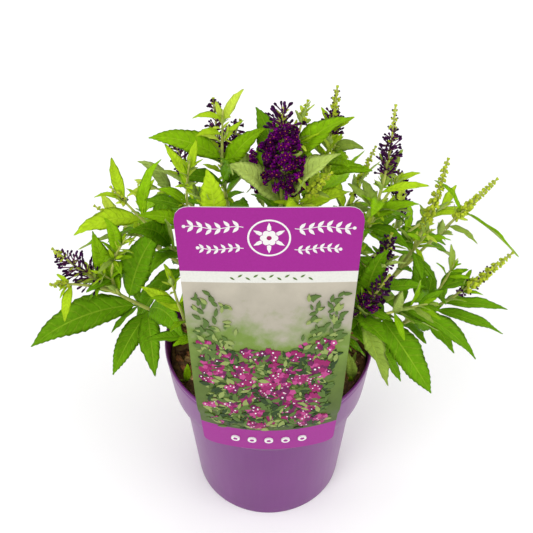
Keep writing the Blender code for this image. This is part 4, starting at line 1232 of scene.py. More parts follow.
def leaf_finish(name, colour, vein, settings, depth=0.13, roughness=0.58):
    """A leaf's side: a plain tint, unevenly mottled, with faint veins that run forward from the rib."""
    finish = Finish(name, colour, roughness, Specular_IOR_Level=settings.leaf_gloss)
    leaf_place = finish.node("UVMap", {"uv_map": "leaf"}).outputs["UV"]
    across, up, _ = finish.node("SeparateXYZ", Vector=leaf_place).outputs
    lean = finish.maths("MULTIPLY_ADD", finish.off_half(across), -settings.vein_lean, up)
    lean = finish.maths("MULTIPLY_ADD", finish.noise(120.0), 0.11, lean)
    phase = finish.maths("FRACT", finish.maths("MULTIPLY", lean, settings.vein_count))
    line = finish.ranged(finish.off_half(phase), From_Min=0.34, From_Max=0.50)
    broad = finish.maths("MULTIPLY", finish.noise(26.0, 2.0), 0.5)
    spots = finish.maths("MULTIPLY_ADD", finish.noise(230.0), 0.5, broad)
    base = finish.tones(spots, (0.36, 0.80), (0.50, 1.0), (0.64, 1.20))
    tint = finish.mix(finish.maths("MULTIPLY", line, depth), base, vein)
    sunk = finish.maths("MULTIPLY_ADD", line, -0.9, finish.noise(560.0))
    return finish.made(tint, sunk, strength=0.60, distance=0.0010)


def card_finish(name, colour):
    """Printed plastic sheet: smooth, with the faint unevenness of ink."""
    finish = Finish(name, colour, CARD_ROUGHNESS, Specular_IOR_Level=CARD_GLOSS)
    tint = finish.tones(finish.noise(700.0, 2.0), (0.3, 0.96), (0.7, 1.04))
    return finish.made(tint, finish.noise(60.0, 2.0), strength=0.05, distance=0.0006)


def card_panel_finish(top, foot):
    """The card's picture field: two tints that run into each other up the card, softly clouded."""
    finish = Finish("card_panel", top, CARD_ROUGHNESS, Specular_IOR_Level=CARD_GLOSS)
    height = finish.node("SeparateXYZ", Vector=finish.place()).outputs["Z"]
    rise = finish.ranged(height, From_Min=PANEL_Z[0], From_Max=PANEL_Z[1])
    clouds = finish.noise(55.0, 4.0)
    level = finish.maths("MULTIPLY_ADD", clouds, 0.55, finish.maths("SUBTRACT", rise, 0.27))
    tint = finish.ramp(level, [(0.05, shade(foot, 0.55)), (0.40, foot), (0.62, shade(foot, 1.5)),
                               (0.80, shade(top, 0.85)), (1.0, top)])
    finish.fill(finish.shader, Base_Color=tint)
    return finish.material


# Work in edit mode

def fresh():
    """Goes to object mode with nothing selected, so an operator acts only on what comes next."""
    if bpy.context.mode != "OBJECT":
        bpy.ops.object.mode_set(mode="OBJECT")
    bpy.ops.object.select_all(action="DESELECT")


def named(name):
    """The piece that an operator has just added, under its own name."""
    piece = bpy.context.object
    piece.name = piece.data.name = name
    return piece


def start_disc(name, sides, radius, height):
    """A flat disc, in edit mode and all selected: the start of a turned piece."""
    fresh()
    bpy.ops.mesh.primitive_circle_add(
        vertices=sides, radius=radius, fill_type="NGON", location=(0.0, 0.0, height))
    disc = named(name)
    bpy.ops.object.transform_apply(location=True, rotation=True, scale=True)
    bpy.ops.object.mode_set(mode="EDIT")
    bpy.ops.mesh.select_all(action="SELECT")
    return disc


def extrude_to(before, after, step=(0.0, 0.0), centre=(0.0, 0.0)):
    """Extrudes the selected disc from one (radius, height) to the next, a step aside to its new centre."""
    bpy.ops.mesh.extrude_region_move(TRANSFORM_OT_translate={"value": (*step, after[1] - before[1])})
    share = after[0] / before[0]
    bpy.ops.transform.resize(value=(share, share, 1.0), center_override=(*centre, after[1]))


def close_piece(smooth_deg):
    """Turns every face outwards and goes to object mode, with smooth faces and the sharp edges kept."""
    bpy.ops.mesh.select_all(action="SELECT")
    bpy.ops.mesh.normals_make_consistent(inside=False)
    bpy.ops.object.mode_set(mode="OBJECT")
    bpy.ops.object.shade_smooth_by_angle(angle=math.radians(smooth_deg))


def turned(name, sides, rows, smooth_deg):
    """A piece turned about the upright axis from (radius, height) rows."""
    piece = start_disc(name, sides, *rows[0])
    for before, after in zip(rows, rows[1:]):
        extrude_to(before, after)
    close_piece(smooth_deg)
    return piece


def apply_all(piece):
    fresh()
    piece.select_set(True)
    bpy.context.view_layer.objects.active = piece
    for modifier in list(piece.modifiers):
        bpy.ops.object.modifier_apply(modifier=modifier.name)


def roughen(piece, name, scale, strength, level=0.5):
    """Lifts a piece's surface by a cloudy texture of its own."""
    texture = bpy.data.textures.new(name, "CLOUDS")
    texture.noise_scale = scale
    lift = piece.modifiers.new(name, "DISPLACE")
    lift.texture = texture
    lift.texture_coords = "LOCAL"
    lift.strength = strength
    lift.mid_level = level
    return lift


def wear(piece, *finishes):
    for finish in finishes:
        piece.data.materials.append(finish)


def settle(piece, slot, *nodes):
    """The piece rides on the bush's one body and stands for its nodes. Its slot is not used."""
    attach(piece, "root")
    if nodes:
        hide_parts(*nodes)


# The pot and the soil

def wall_radius(height):
    """The pot's outer radius at a height."""
    if height >= COLLAR_FOOT:
        flare = RIM_RADIUS - COLLAR_FOOT_RADIUS
        return COLLAR_FOOT_RADIUS + flare * (height - COLLAR_FOOT) / COLLAR_HEIGHT
    return BASE_RADIUS + (BODY_TOP_RADIUS - BASE_RADIUS) * height / COLLAR_FOOT


def rounded(radius, height, *steps):
    """Rows of an edge that the mould leaves round: steps outwards and up, in tenths of a millimetre."""
    return [(radius + out / 10000, height + up / 10000) for out, up in steps]


def pot_profile():
    """The pot's wall as (radius, height) rows: up from under the foot, over the lip, down to the floor."""
    foot, top, ledge = COLLAR_FOOT, POT_HEIGHT, COLLAR_FOOT + POT_WALL
    body = (0.003, 0.010, *(foot * share for share in (0.3, 0.55, 0.8, 0.96)))
    collar = [foot + COLLAR_HEIGHT * share for share in (0.2, 0.5, 0.8, 0.90)]
    return [
        *rounded(BASE_RADIUS, 0.0, (-75, 12), (-70, 0), (-10, 0), (-1, 6)),
        *((wall_radius(height), height) for height in body),
        *rounded(BODY_TOP_RADIUS, foot, (-1, -12), (8, -2)),
        *rounded(COLLAR_FOOT_RADIUS, foot, (-9, 0), (-1, 9)),
        *((wall_radius(height), height) for height in collar),
        *rounded(RIM_RADIUS, top, (-7, -40), (-1, -32), (0, -16), (-4, -4), (-12, 0), (-20, -4)),
        *rounded(RIM_RADIUS - RIM_ROLL, top, (0, -16)),
        *rounded(COLLAR_FOOT_RADIUS - POT_WALL, ledge, (2, 8), (-6, 0)),
        (BODY_TOP_RADIUS - POT_WALL, ledge),
        *rounded(BASE_RADIUS - POT_WALL, POT_FLOOR, (0, 6), (-8, 0)),
    ]


def make_pot(settings):
    pot = turned("pot_shell", settings.pot_sides, pot_profile(), 35.0)
    for k in range(DRAIN_HOLES):
        turn = math.tau * (k + 0.5) / DRAIN_HOLES
        fresh()
        bpy.ops.mesh.primitive_cylinder_add(
            vertices=24, radius=DRAIN_RADIUS, depth=0.012, location=(*polar(DRAIN_CIRCLE, turn), 0.001))
        cutter = bpy.context.object
        cut = pot.modifiers.new("drain", "BOOLEAN")
        cut.operation = "DIFFERENCE"
        cut.object = cutter
        apply_all(pot)
        bpy.data.objects.remove(cutter)
    wear(pot, pot_finish(settings))
    settle(pot, "pot_plastic", "pot")


def soil_height(x, y):
    """The lumpy top of the soil, as in the solids."""
    away = min(1.0, max(0.0, (math.hypot(x, y) - SOIL_FLAT_RADIUS) / SOIL_FLAT_RADIUS))
    lumps = math.sin(x * 210.0 + 1.0) * math.cos(y * 180.0) + 0.6 * math.sin((x - y) * 330.0)
    return SOIL_TOP + SOIL_BUMP * lumps * away


def make_soil(settings):
    inside = POT_WALL + GAP * 1.4
    brim = wall_radius(SOIL_TOP) - inside - RIM_ROLL * 0.4
    waist, shelf = BODY_TOP_RADIUS - inside, COLLAR_FOOT + POT_WALL + GAP
    rows = [(BASE_RADIUS - inside - 0.001, POT_FLOOR + GAP), (waist, COLLAR_FOOT), (waist, shelf),
            (COLLAR_FOOT_RADIUS - inside - 0.0008, shelf), (brim, SOIL_TOP - SOIL_BUMP)]
    rings = settings.soil_rings
    rows += [(brim * (1.0 - k / rings), SOIL_TOP) for k in range(1, rings)]
    soil = turned("potting_soil", 120, rows, 60.0)
    for vertex in soil.data.vertices:
        if vertex.co.z > SOIL_TOP - 0.5 * SOIL_BUMP:
            vertex.co.z = soil_height(vertex.co.x, vertex.co.y)
    lowest, widest = SOIL_TOP - 1.6 * SOIL_BUMP, brim * 0.985
    loose = [v.index for v in soil.data.vertices if v.co.z > lowest and math.hypot(v.co.x, v.co.y) < widest]
    soil.vertex_groups.new(name="top").add(loose, 1.0, "REPLACE")
    for name, scale, strength in (("clods", 0.009, 0.0042), ("crumbs", 0.0028, 0.0022)):
        lift = roughen(soil, name, scale, strength)
        lift.direction = "Z"
        lift.vertex_group = "top"
    apply_all(soil)
    wear(soil, soil_finish())
    settle(soil, "soil", "root_ball")


def litter(count, lengths, lift, rng):
    """Seeded pieces that lie on the soil inside the wall: each one's place, heading and length."""
    found = []
    while len(found) < count:
        away, turn = LITTER_REACH * math.sqrt(rng.uniform(0.05, 1.0)), rng.uniform(0.0, math.tau)
        x, y = polar(away, turn)
        heading = Vector((rng.uniform(-1, 1), rng.uniform(-1, 1), rng.uniform(*lift))).normalized()
        length = rng.uniform(*lengths)
        if math.hypot(x + heading.x * length, y + heading.y * length) < LITTER_REACH - 0.0005:
            place = Vector((x, y, soil_height(x, y) + rng.uniform(-0.0006, 0.0010)))
            found.append((place, heading, length))
    return found


def make_litter(settings):
    """Bark chips and fibres that lie in the soil."""
    rng = random.Random(SEED + 1)
    chips = Heap()
    found = litter(settings.chip_count, (0.003, 0.009), (-0.2, 0.35), rng)
    found += litter(settings.chip_count // 3, (0.010, 0.022), (-0.1, 0.30), rng)
    places, headings, lengths = zip(*found)
    chips.stamp(chip_template(), places, headings, [length * rng.uniform(0.10, 0.26) for length in lengths],
                lengths, [rng.uniform(0, 6) for _ in found], [(rng.choice((0, 0, 1, 1, 2)),) for _ in found])
    finishes = [chip_finish(name, tint) for name, tint in CHIP_TINTS.items()]
    settle(chips.made("bark_chips", finishes, smooth=False), "soil")
    fibres = Heap()
    for start, heading, length in litter(settings.fibre_count, (0.006, 0.018), (-0.05, 0.25), rng):
        end = start + heading * length
        middle = start.lerp(end, 0.5) + Vector((rng.uniform(-1, 1), rng.uniform(-1, 1), 0.6)) * length * 0.18
        fibres.tube(bend(start, middle, end, 6), np.linspace(0.00032, 0.00014, 7), 4)
    settle(fibres.made("soil_fibres", [chip_finish("fibre_tan", (0.30, 0.20, 0.10))]), "soil")


# The wood, the stems and the leaves

def make_trunk(settings):
    """The woody foot, swelling to a root flare where it meets the soil."""
    rows = [(share, wide * radius) for radius, steps in (
        (TRUNK_FLARE_RADIUS, ((0.0, 1.0), (0.05, 0.92), (0.10, 0.82))),
        (TRUNK_RADIUS, ((0.18, 1.24), (0.28, 1.12), (0.40, 1.05), (0.62, 1.0), (0.76, 0.92))),
        (TRUNK_TIP_RADIUS, ((0.92, 1.0), (0.97, 0.86), (1.0, 0.6))),
    ) for share, wide in steps]
    base = SOIL_TOP + GAP
    trunk = start_disc("woody_stem", 30, rows[0][1], base)
    for (low, wide), (high, narrow) in zip(rows, rows[1:]):
        step, centre = TRUNK_LEAN * (high - low), TRUNK_LEAN * high
        extrude_to((wide, base + TRUNK_HEIGHT * low), (narrow, base + TRUNK_HEIGHT * high),
                   step[:2], centre[:2])
    close_piece(50.0)
    finer = trunk.modifiers.new("finer", "SUBSURF")
    finer.levels = finer.render_levels = 2
    roughen(trunk, "ridges", 0.0032, 0.0016, 0.62)
    apply_all(trunk)
    for vertex in trunk.data.vertices:
        vertex.co.z = max(vertex.co.z, base)
    wear(trunk, bark_finish("bark", settings.bark_colour))
    settle(trunk, "bark", "main_stem")


def bark_relief(rows, sides, rng, depth):
    """A table of small swellings: upright ridges that wander and break."""
    ridges = rng.uniform(-1.0, 1.0, (rows, sides))
    for _ in range(2):
        ridges[1:] = ridges[:-1] * 0.55 + ridges[1:] * 0.6
    return 1.0 + depth * ridges


def make_boughs(settings):
    """Sixteen tapering limbs with their bark's relief, from the woody stem to the masses."""
    rng = np.random.default_rng(SEED)
    boughs = Heap()
    steps = 26
    knots = 1.0 + 0.16 * (np.arange(steps + 1) % 6 == 4)
    radii = np.linspace(BOUGH_FOOT_RADIUS, BOUGH_TIP_RADIUS, steps + 1) * knots
    for mass in grown_bush():
        points = [along(mass.bough, k / steps)[0] for k in range(steps + 1)]
        boughs.tube(points, radii, 12, relief=bark_relief(steps + 1, 12, rng, 0.10))
    piece = boughs.made("boughs", [bark_finish("bough_bark", shade(settings.bark_colour, 1.1))])
    settle(piece, "bark", *("bough_" + mass.name for mass in grown_bush()))


def foliage_nodes():
    return ["foliage_" + mass.name for mass in grown_bush()]


def make_twigs(settings):
    """The masses' green stems, their side shoots and the short twigs in the leaf axils."""
    twigs = Heap()
    steps = 22
    joints = 1.0 + 0.14 * (np.arange(steps + 1) % 4 == 1)
    for mass in grown_bush():
        for shoot, path in zip(mass.shoots, mass.paths):
            foot = BOUGH_TIP_RADIUS if shoot.share is None else SIDE_SHOOT_RADIUS
            points = [along(path, 0.997 * k / steps)[0] for k in range(steps + 1)]
            radii = np.linspace(foot, SHOOT_TIP_RADIUS * 0.8, steps + 1)
            woody = [int(shoot.share is None and k < 5) for k in range(steps + 1)]
            twigs.tube(points, radii * joints, 8, woody)
        for path in mass.twigs:
            twigs.tube(path, np.linspace(0.0008, 0.0005, len(path)), 5)
    green = mottled("stem_green", settings.stem_colour, 0.5, 120.0, 0.25)
    tan = bark_finish("stem_tan", (0.34, 0.27, 0.09))
    settle(twigs.made("green_stems", [green, tan]), "leaf_green", *foliage_nodes())


def dealt_leaves():
    """Every leaf of the bush in its final shape, dealt out to the leaf tints."""
    rng = random.Random(SEED + 2)
    dealt = {name: [] for name in LEAF_TINTS}
    for mass in grown_bush():
        for index, blade in enumerate(mass.blades):
            dealt[tint_of(mass, index, blade, rng)].append(arched(mass, index, blade))
    for (x, y), *leaves in SPROUTS:
        for heading, length, youth in leaves:
            foot = Vector((x, y, soil_height(x, y) - 0.002))
            direction = Vector(heading).normalized()
            blade = Blade(foot, direction, normal_of(direction, FRONT + UP * 0.3), length, 0.25, 0.8, youth)
            dealt["mid" if youth > 0.4 else "grey"].append(blade)
    return dealt


def make_leaves(settings):
    """The leaves, each tint one joined piece with a paler rib and underside."""
    shapes = np.random.default_rng(SEED)
    ground = settings.underside_colour
    under = leaf_finish("leaf_underside", ground, shade(ground, 0.70), settings, 0.55, 0.62)
    under_rib = mottled("leaf_under_rib", shade(ground, 1.15), 0.55, 80.0)
    for name, blades in dealt_leaves().items():
        heap = Heap()
        for index, (shortest, rows, columns) in enumerate(LEAF_MAKES):
            longest = LEAF_MAKES[index - 1][0] if index else 1.0
            group = [blade for blade in blades if shortest <= blade.length < longest]
            if group:
                heap.add(leaf_points(group, rows, columns, settings, shapes), leaf_template(rows, columns))
        colour = getattr(settings, "leaf_" + name)
        pale = [own + (line - own) * settings.rib_contrast for own, line in zip(colour, settings.rib_colour)]
        top = leaf_finish("leaf_" + name, colour, settings.rib_colour, settings)
        rib = mottled("leaf_rib_" + name, pale, 0.6, 80.0, 0.15, Specular_IOR_Level=0.05)
        settle(heap.made("leaves_" + name, [top, rib, under, under_rib]), "leaf_green", *foliage_nodes())


# The flowers

def flower_heap(kind, template, looks, seed, turned_about=False):
    """All of the flowers' parts of one kind, each with one of several looks: the tints of its zones."""
    rng = random.Random(seed)
    parts = [part for spike in grown_flowers() for part in getattr(spike, kind)]
    places, headings, widths, lengths = zip(*parts)
    chosen = [rng.choice(looks) for _ in places]
    spins = [rng.uniform(0, 6) for _ in places] if turned_about else None
    heap = Heap()
    heap.stamp(template, places, headings, widths, lengths, spins, chosen)
    return heap


def make_florets(settings):
    """The open florets: purple lobes in three tints round an orange throat."""
    looks = ((0, 3, 4), (0, 3, 4), (1, 3, 4), (2, 3, 4))
    heap = flower_heap("florets", floret_template(), looks, SEED + 3, True)
    petal = settings.petal_colour
    tints = {"petal": petal, "petal_light": shade(petal, 1.75), "petal_dark": shade(petal, 0.45)}
    tube_finish = mottled("floret_tube", (0.10, 0.012, 0.085), 0.6, 300.0, Specular_IOR_Level=0.15)
    throat = mottled("floret_throat", settings.throat_colour, 0.5, 300.0)
    settle(heap.made("open_florets", [*mottled_all(tints, 0.8, 0.03, 0.3), tube_finish, throat]), None)


def make_clubs(settings):
    """The closed dark flowers of the spikes and of the blooms' tips."""
    heap = flower_heap("clubs", club_template(), ((0, 2), (0, 3), (1, 3)), SEED + 4)
    dark = settings.club_colour
    tints = {"club_dark": dark, "club_purple": shade(dark, 2.2), "club_stalk": (0.055, 0.012, 0.045),
             "club_stalk_light": (0.15, 0.03, 0.11)}
    settle(heap.made("closed_flowers", mottled_all(tints, 0.7, 0.05)), None)


def make_buds(settings):
    """The knobbly green buds and the little stalks that carry them."""
    heap = flower_heap("buds", bud_template(), ((0,), (0,), (1,)), SEED + 5)
    for spike in grown_flowers():
        for low, high, radius in spike.stalks:
            heap.tube([low, low.lerp(high, 0.5), high], [radius] * 3, 4)
    tints = {"bud_green": settings.bud_colour, "bud_pale": shade(settings.bud_colour, 1.3)}
    settle(heap.made("green_buds", mottled_all(tints, 0.7, 0.1)), "leaf_green")


# The card

def card_width(share):
    return CARD_FOOT_WIDTH + (CARD_TOP_WIDTH - CARD_FOOT_WIDTH) * share


def card_place(across, share):
    """A point of the card's back face. across runs from -1 to 1, and the share from its foot to its top."""
    rise = share * CARD_LENGTH - CARD_DROP
    if rise <= 0.0:
        height = POT_HEIGHT + rise
        front = wall_radius(height)
    else:
        height = POT_HEIGHT + rise * math.cos(CARD_LEAN)
        front = RIM_RADIUS - rise * math.sin(CARD_LEAN)
    front += 1.5 * GAP
    curve = CARD_CURVE * (1.0 + CARD_FLATTENING * max(0.0, rise) / CARD_RISE)
    turn = across * 0.5 * card_width(share) / curve
    return Vector((curve * math.sin(turn), -front + curve * (1.0 - math.cos(turn)), height))


def card_outward(across, share):
    """The way the card's printed side looks at a place."""
    small = 0.004
    low, high = max(0.0, share - small), min(1.0, share + small)
    right = card_place(across + small, share) - card_place(across - small, share)
    return right.cross(card_place(across, high) - card_place(across, low)).normalized()


def card_reach(share):
    """How far the card reaches across at this share of its length: less inside its round corners."""
    from_end = min(share * FOOT_CORNER_SHARPNESS, 1.0 - share) * CARD_LENGTH
    if from_end >= CARD_CORNER:
        return 1.0
    inset = CARD_CORNER - math.sqrt(CARD_CORNER**2 - (CARD_CORNER - from_end) ** 2)
    return 1.0 - 2.0 * inset / CARD_TOP_WIDTH


def card_rows():
    """Shares of the card's length where it has a row of points: its round ends and its zones' edges."""
    corner = CARD_CORNER / CARD_LENGTH
    ends = [0.0, 0.05, 0.2, 0.5, 1.0]
    rows = [corner * k / FOOT_CORNER_SHARPNESS for k in ends] + [1.0 - corner * k for k in ends]
    rows += [CARD_DROP / CARD_LENGTH, *(edge for edge, _ in CARD_ZONES[1:])]
    steps = 40
    rows += [k / steps for k in range(steps) if all(abs(k / steps - row) > 0.4 / steps for row in rows)]
    return sorted(set(rows))


def thicken(piece, side, back=0):
    """Gives a sheet the card's thickness to one side, and its back and edges a later finish of its list."""
    shell = piece.modifiers.new("thickness", "SOLIDIFY")
    shell.thickness = CARD_THICKNESS
    shell.offset = side
    shell.material_offset = shell.material_offset_rim = back
    apply_all(piece)


def make_card(settings):
    """The card itself: a grid laid on the card's curve, cut round at its corners and given its thickness."""
    rows = card_rows()
    fresh()
    bpy.ops.mesh.primitive_grid_add(x_subdivisions=24, y_subdivisions=len(rows) - 1, size=2.0)
    card = named("picture_card")
    for vertex in card.data.vertices:
        share = rows[round((vertex.co.y + 1.0) * 0.5 * (len(rows) - 1))]
        across = vertex.co.x * card_reach(share)
        vertex.co = card_place(across, share) + card_outward(across, share) * CARD_THICKNESS
    for face in card.data.polygons:
        face.material_index = sum(face.center.z > card_place(0.0, edge).z for edge, _ in CARD_ZONES[1:])
    tints = {"foot": settings.card_purple, "cream": settings.card_cream, "head": settings.card_purple}
    finishes = [card_finish("card_" + zone, tints[zone]) if zone in tints
                else card_panel_finish(settings.card_sky, settings.card_green) for _, zone in CARD_ZONES]
    back = card_finish("card_back", (0.66, 0.65, 0.63))
    wear(card, *finishes, back)
    thicken(card, -1.0, len(CARD_ZONES))
    bpy.ops.object.shade_smooth_by_angle(angle=math.radians(40.0))
    settle(card, "card", "label_card")
    make_tongue(back)


def make_tongue(finish):
    """A strip bent over the rim: from the card's back, across the rim and down inside the wall."""
    half = TONGUE_WIDTH * 0.5
    over = POT_HEIGHT + 1.2 * GAP
    outer = RIM_RADIUS + 1.5 * GAP + 0.0001
    inner = math.sqrt((RIM_RADIUS - RIM_ROLL) ** 2 - half**2) - 2.0 * GAP
    slope = (RIM_RADIUS - COLLAR_FOOT_RADIUS) / COLLAR_HEIGHT
    stations = [(-outer, over), (-inner + 0.0006, over), (-inner + 0.0003, over - 0.0006),
                (-inner + TONGUE_DEPTH * slope, POT_HEIGHT - TONGUE_DEPTH)]
    fresh()
    bpy.ops.mesh.primitive_grid_add(x_subdivisions=1, y_subdivisions=len(stations) - 1, size=2.0)
    tongue = named("card_tongue")
    for vertex in tongue.data.vertices:
        station = round((vertex.co.y + 1.0) * 0.5 * (len(stations) - 1))
        vertex.co = (half * vertex.co.x, *stations[station])
    thicken(tongue, 1.0)
    wear(tongue, finish)
    settle(tongue, "card")


# The card's print

class Print:
    """Flat motifs laid on the card's printed side, each a hair prouder than the last, as ink is laid."""

    def __init__(self, rng):
        self.heap = Heap()
        self.rng = rng
        self.laid = 0

    def lay(self, outline, ink):
        """A filled outline of (x, y) points in metres from the middle of the card's foot, anticlockwise."""
        count = len(outline)
        middle = (sum(x for x, _ in outline) / count, sum(y for _, y in outline) / count)
        self.laid += 1
        rings, middles = [], []
        for lift in (CARD_THICKNESS - INK_ROOT, CARD_THICKNESS + INK_LIFT + INK_STEP * self.laid):
            for x, y in (*outline, middle):
                share = y / CARD_LENGTH
                across = 2.0 * x / card_width(share)
                rings.append(card_place(across, share) + card_outward(across, share) * lift)
            middles.append(rings.pop())
        points = np.array(rings + middles)
        loops, totals, tints = ring_faces(2, count)
        self.heap.add(points[None], Template(points, loops, totals, tints + list(INKS).index(ink)))

    def disc(self, x, y, radius, ink, sides=20):
        self.lay([polar(radius, turn, x, y) for turn in turns_of(sides)], ink)

    def leaf(self, x, y, turn, length, ink, fat=1.0):
        shape = [(0.0, 0.0), (0.30, -0.19), (0.60, -0.18), (1.0, 0.0), (0.60, 0.18), (0.30, 0.19)]
        cosine, sine = math.cos(turn) * length, math.sin(turn) * length
        self.lay([(x + a * cosine - b * fat * sine, y + a * sine + b * fat * cosine) for a, b in shape], ink)

    def blossom(self, x, y, radius, ink, sides):
        """A round blossom of five petals."""
        reaches = [(turn, radius * (0.74 + 0.26 * abs(math.cos(2.5 * turn)))) for turn in turns_of(sides)]
        self.lay([polar(reach, turn + x * 900.0, x, y) for turn, reach in reaches], ink)

    def cluster(self, x, y, size):
        """A domed cluster of round blossoms, some of them with a white eye."""
        for k in range(11):
            away, turn = size * math.sqrt(k / 11.0), k * GOLDEN_TURN
            at = (x + away * math.cos(turn), y + 0.8 * away * math.sin(turn))
            radius = size * self.rng.uniform(0.36, 0.48)
            self.blossom(*at, radius, self.rng.choice(("pink", "magenta", "magenta", "plum")), 10)
            if self.rng.random() < 0.35:
                self.disc(*at, radius * 0.28, "white", 8)

    def garland(self, start, end, y, pitch, length, swing):
        """A waving vine with a pair of leaves at each bend and a round berry at its end."""
        way = math.copysign(1.0, end - start)

        def height(x):
            return y + swing * math.sin(x * 210.0)

        steps = max(8, round(abs(end - start) / 0.0015))
        line = [start + (end - start) * k / steps for k in range(steps + 1)]
        for low, high in zip(line, line[1:]):
            a, b = Vector((low, height(low))), Vector((high, height(high)))
            aside = (b - a).normalized().orthogonal() * -VINE_WIDTH
            self.lay([a + aside, b + aside, b - aside, a - aside], "white")
        for k in range(round(abs(end - start) / pitch)):
            x = start + way * pitch * (k + 0.5)
            for side in (-0.85, 0.85):
                self.leaf(x, height(x), side if way > 0.0 else math.pi - side, length, "white")
        self.disc(end + way * 0.0012, height(end), 0.0013, "white", 12)

    def emblem(self, height):
        """A ringed rosette: six leaves that point outwards from a scalloped blossom."""
        self.disc(0.0, height, 0.0150, "white", 48)
        self.disc(0.0, height, 0.0137, "purple", 48)
        for turn in turns_of(6):
            turn += math.pi / 6
            self.leaf(*polar(0.004, turn, 0.0, height), turn, 0.0085, "white", 0.9)
        for away, radius, ink in ((0.0040, 0.0029, "purple"), (0.0038, 0.0025, "white")):
            for turn in turns_of(6):
                self.disc(*polar(away, turn, 0.0, height), radius, ink)
        self.disc(0.0, height, 0.0018, "magenta")

    def edge(self, y, margin):
        return 0.5 * card_width(y / CARD_LENGTH) - margin

    def bed(self, count):
        """Leaves in three greens with clusters among them, thinning out towards a wavy top."""
        rng = self.rng
        for k in range(count):
            share = rng.random()
            y = 0.033 + 0.096 * share + rng.uniform(-0.003, 0.003)
            x = self.edge(y, 0.010) * rng.uniform(-1.0, 1.0)
            if share > 0.82 - 0.16 * math.cos(x * 60.0) * rng.random():
                continue
            turn, length = rng.uniform(-0.4, 3.5), rng.uniform(0.0050, 0.0092)
            green = rng.choice(("leaf", "leaf", "leaf_dark", "leaf_dark", "leaf_light"))
            self.leaf(x, y, turn, length, green, rng.uniform(0.7, 1.2))
            if k % 9 == 5:
                self.cluster(x, min(y + 0.004, 0.122), rng.uniform(0.0042, 0.0070))

    def side_leaves(self, side, count):
        """Leaves that hang in from one side of the picture field."""
        rng = self.rng
        for _ in range(count):
            y = rng.uniform(0.100, 0.162)
            x = side * (self.edge(y, 0.009) - 0.026 * rng.random() ** 1.6)
            turn = math.pi / 2 - side * rng.uniform(-0.4, 1.6)
            self.leaf(x, y, turn, rng.uniform(0.0050, 0.0085), rng.choice(("leaf", "leaf", "leaf_light")))


def make_print(settings):
    """A generic print: a rosette between garlands above, a bed of leaves and clusters, discs below."""
    sheet = Print(random.Random(SEED + 6))
    sheet.emblem(EMBLEM_HEIGHT)
    for way in (-1.0, 1.0):
        sheet.garland(way * 0.0175, way * 0.0570, EMBLEM_HEIGHT + 0.0082, 0.0062, 0.0066, 0.0011)
        sheet.garland(way * 0.0175, way * 0.0480, EMBLEM_HEIGHT - 0.0090, 0.0050, 0.0050, 0.0009)
    for k in range(11):
        sheet.leaf(-0.0275 + 0.0055 * k, 0.1766, 0.6 if k % 2 else -0.6, 0.0042, "leaf", 0.9)
    sheet.bed(980)
    for side in (-1.0, 1.0):
        sheet.side_leaves(side, 70)
    for k in range(5):
        x = -0.026 + 0.013 * k
        sheet.disc(x, 0.0150, 0.0034, "white", 24)
        sheet.blossom(x, 0.0150, 0.0019, "purple", 15)
    finishes = [card_finish("ink_" + name, tint or settings.card_purple) for name, tint in INKS.items()]
    settle(sheet.heap.made("card_print", finishes, smooth=False), "card")


# Settings, operators and panel

def size(name, text, value):
    return bpy.props.FloatProperty(name=name, description=text, default=value, unit="LENGTH", precision=4)


def share(name, text, value):
    return bpy.props.FloatProperty(name=name, description=text, default=value, min=0.0, subtype="FACTOR")


def power(name, text, value):
    return bpy.props.FloatProperty(name=name, description=text, default=value, min=0.0, unit="POWER")


def number(name, text, value):
    return bpy.props.IntProperty(name=name, description=text, default=value, min=1)


def tint(name, value):
    text = "Tint of the " + name.lower()
    return bpy.props.FloatVectorProperty(
        name=name, description=text, default=value, subtype="COLOR", min=0.0, max=1.0)


class BushPotSettings(bpy.types.PropertyGroup):
    """The pot, its soil and the card."""

    pot_colour: tint("Pot", (0.137, 0.0044, 0.155))
    pot_roughness: share("Pot roughness", "How matt the pot is", 0.40)
    pot_sheen: share("Pot sheen", "Strength of the pot's clear sheen", 0.52)
    pot_sides: number("Pot sides", "Faces round the pot", 144)
    soil_rings: number("Soil rings", "Rings of points in the top of the soil", 40)
    chip_count: number("Bark chips", "Small chips that lie in the soil", 420)
    fibre_count: number("Fibres", "Fibres that lie in the soil", 150)
    card_purple: tint("Card's head and foot", (0.300, 0.010, 0.236))
    card_cream: tint("Card's pale strip", (0.67, 0.67, 0.62))
    card_sky: tint("Card's picture field, upper part", (0.46, 0.42, 0.34))
    card_green: tint("Card's picture field, lower part", (0.11, 0.17, 0.03))


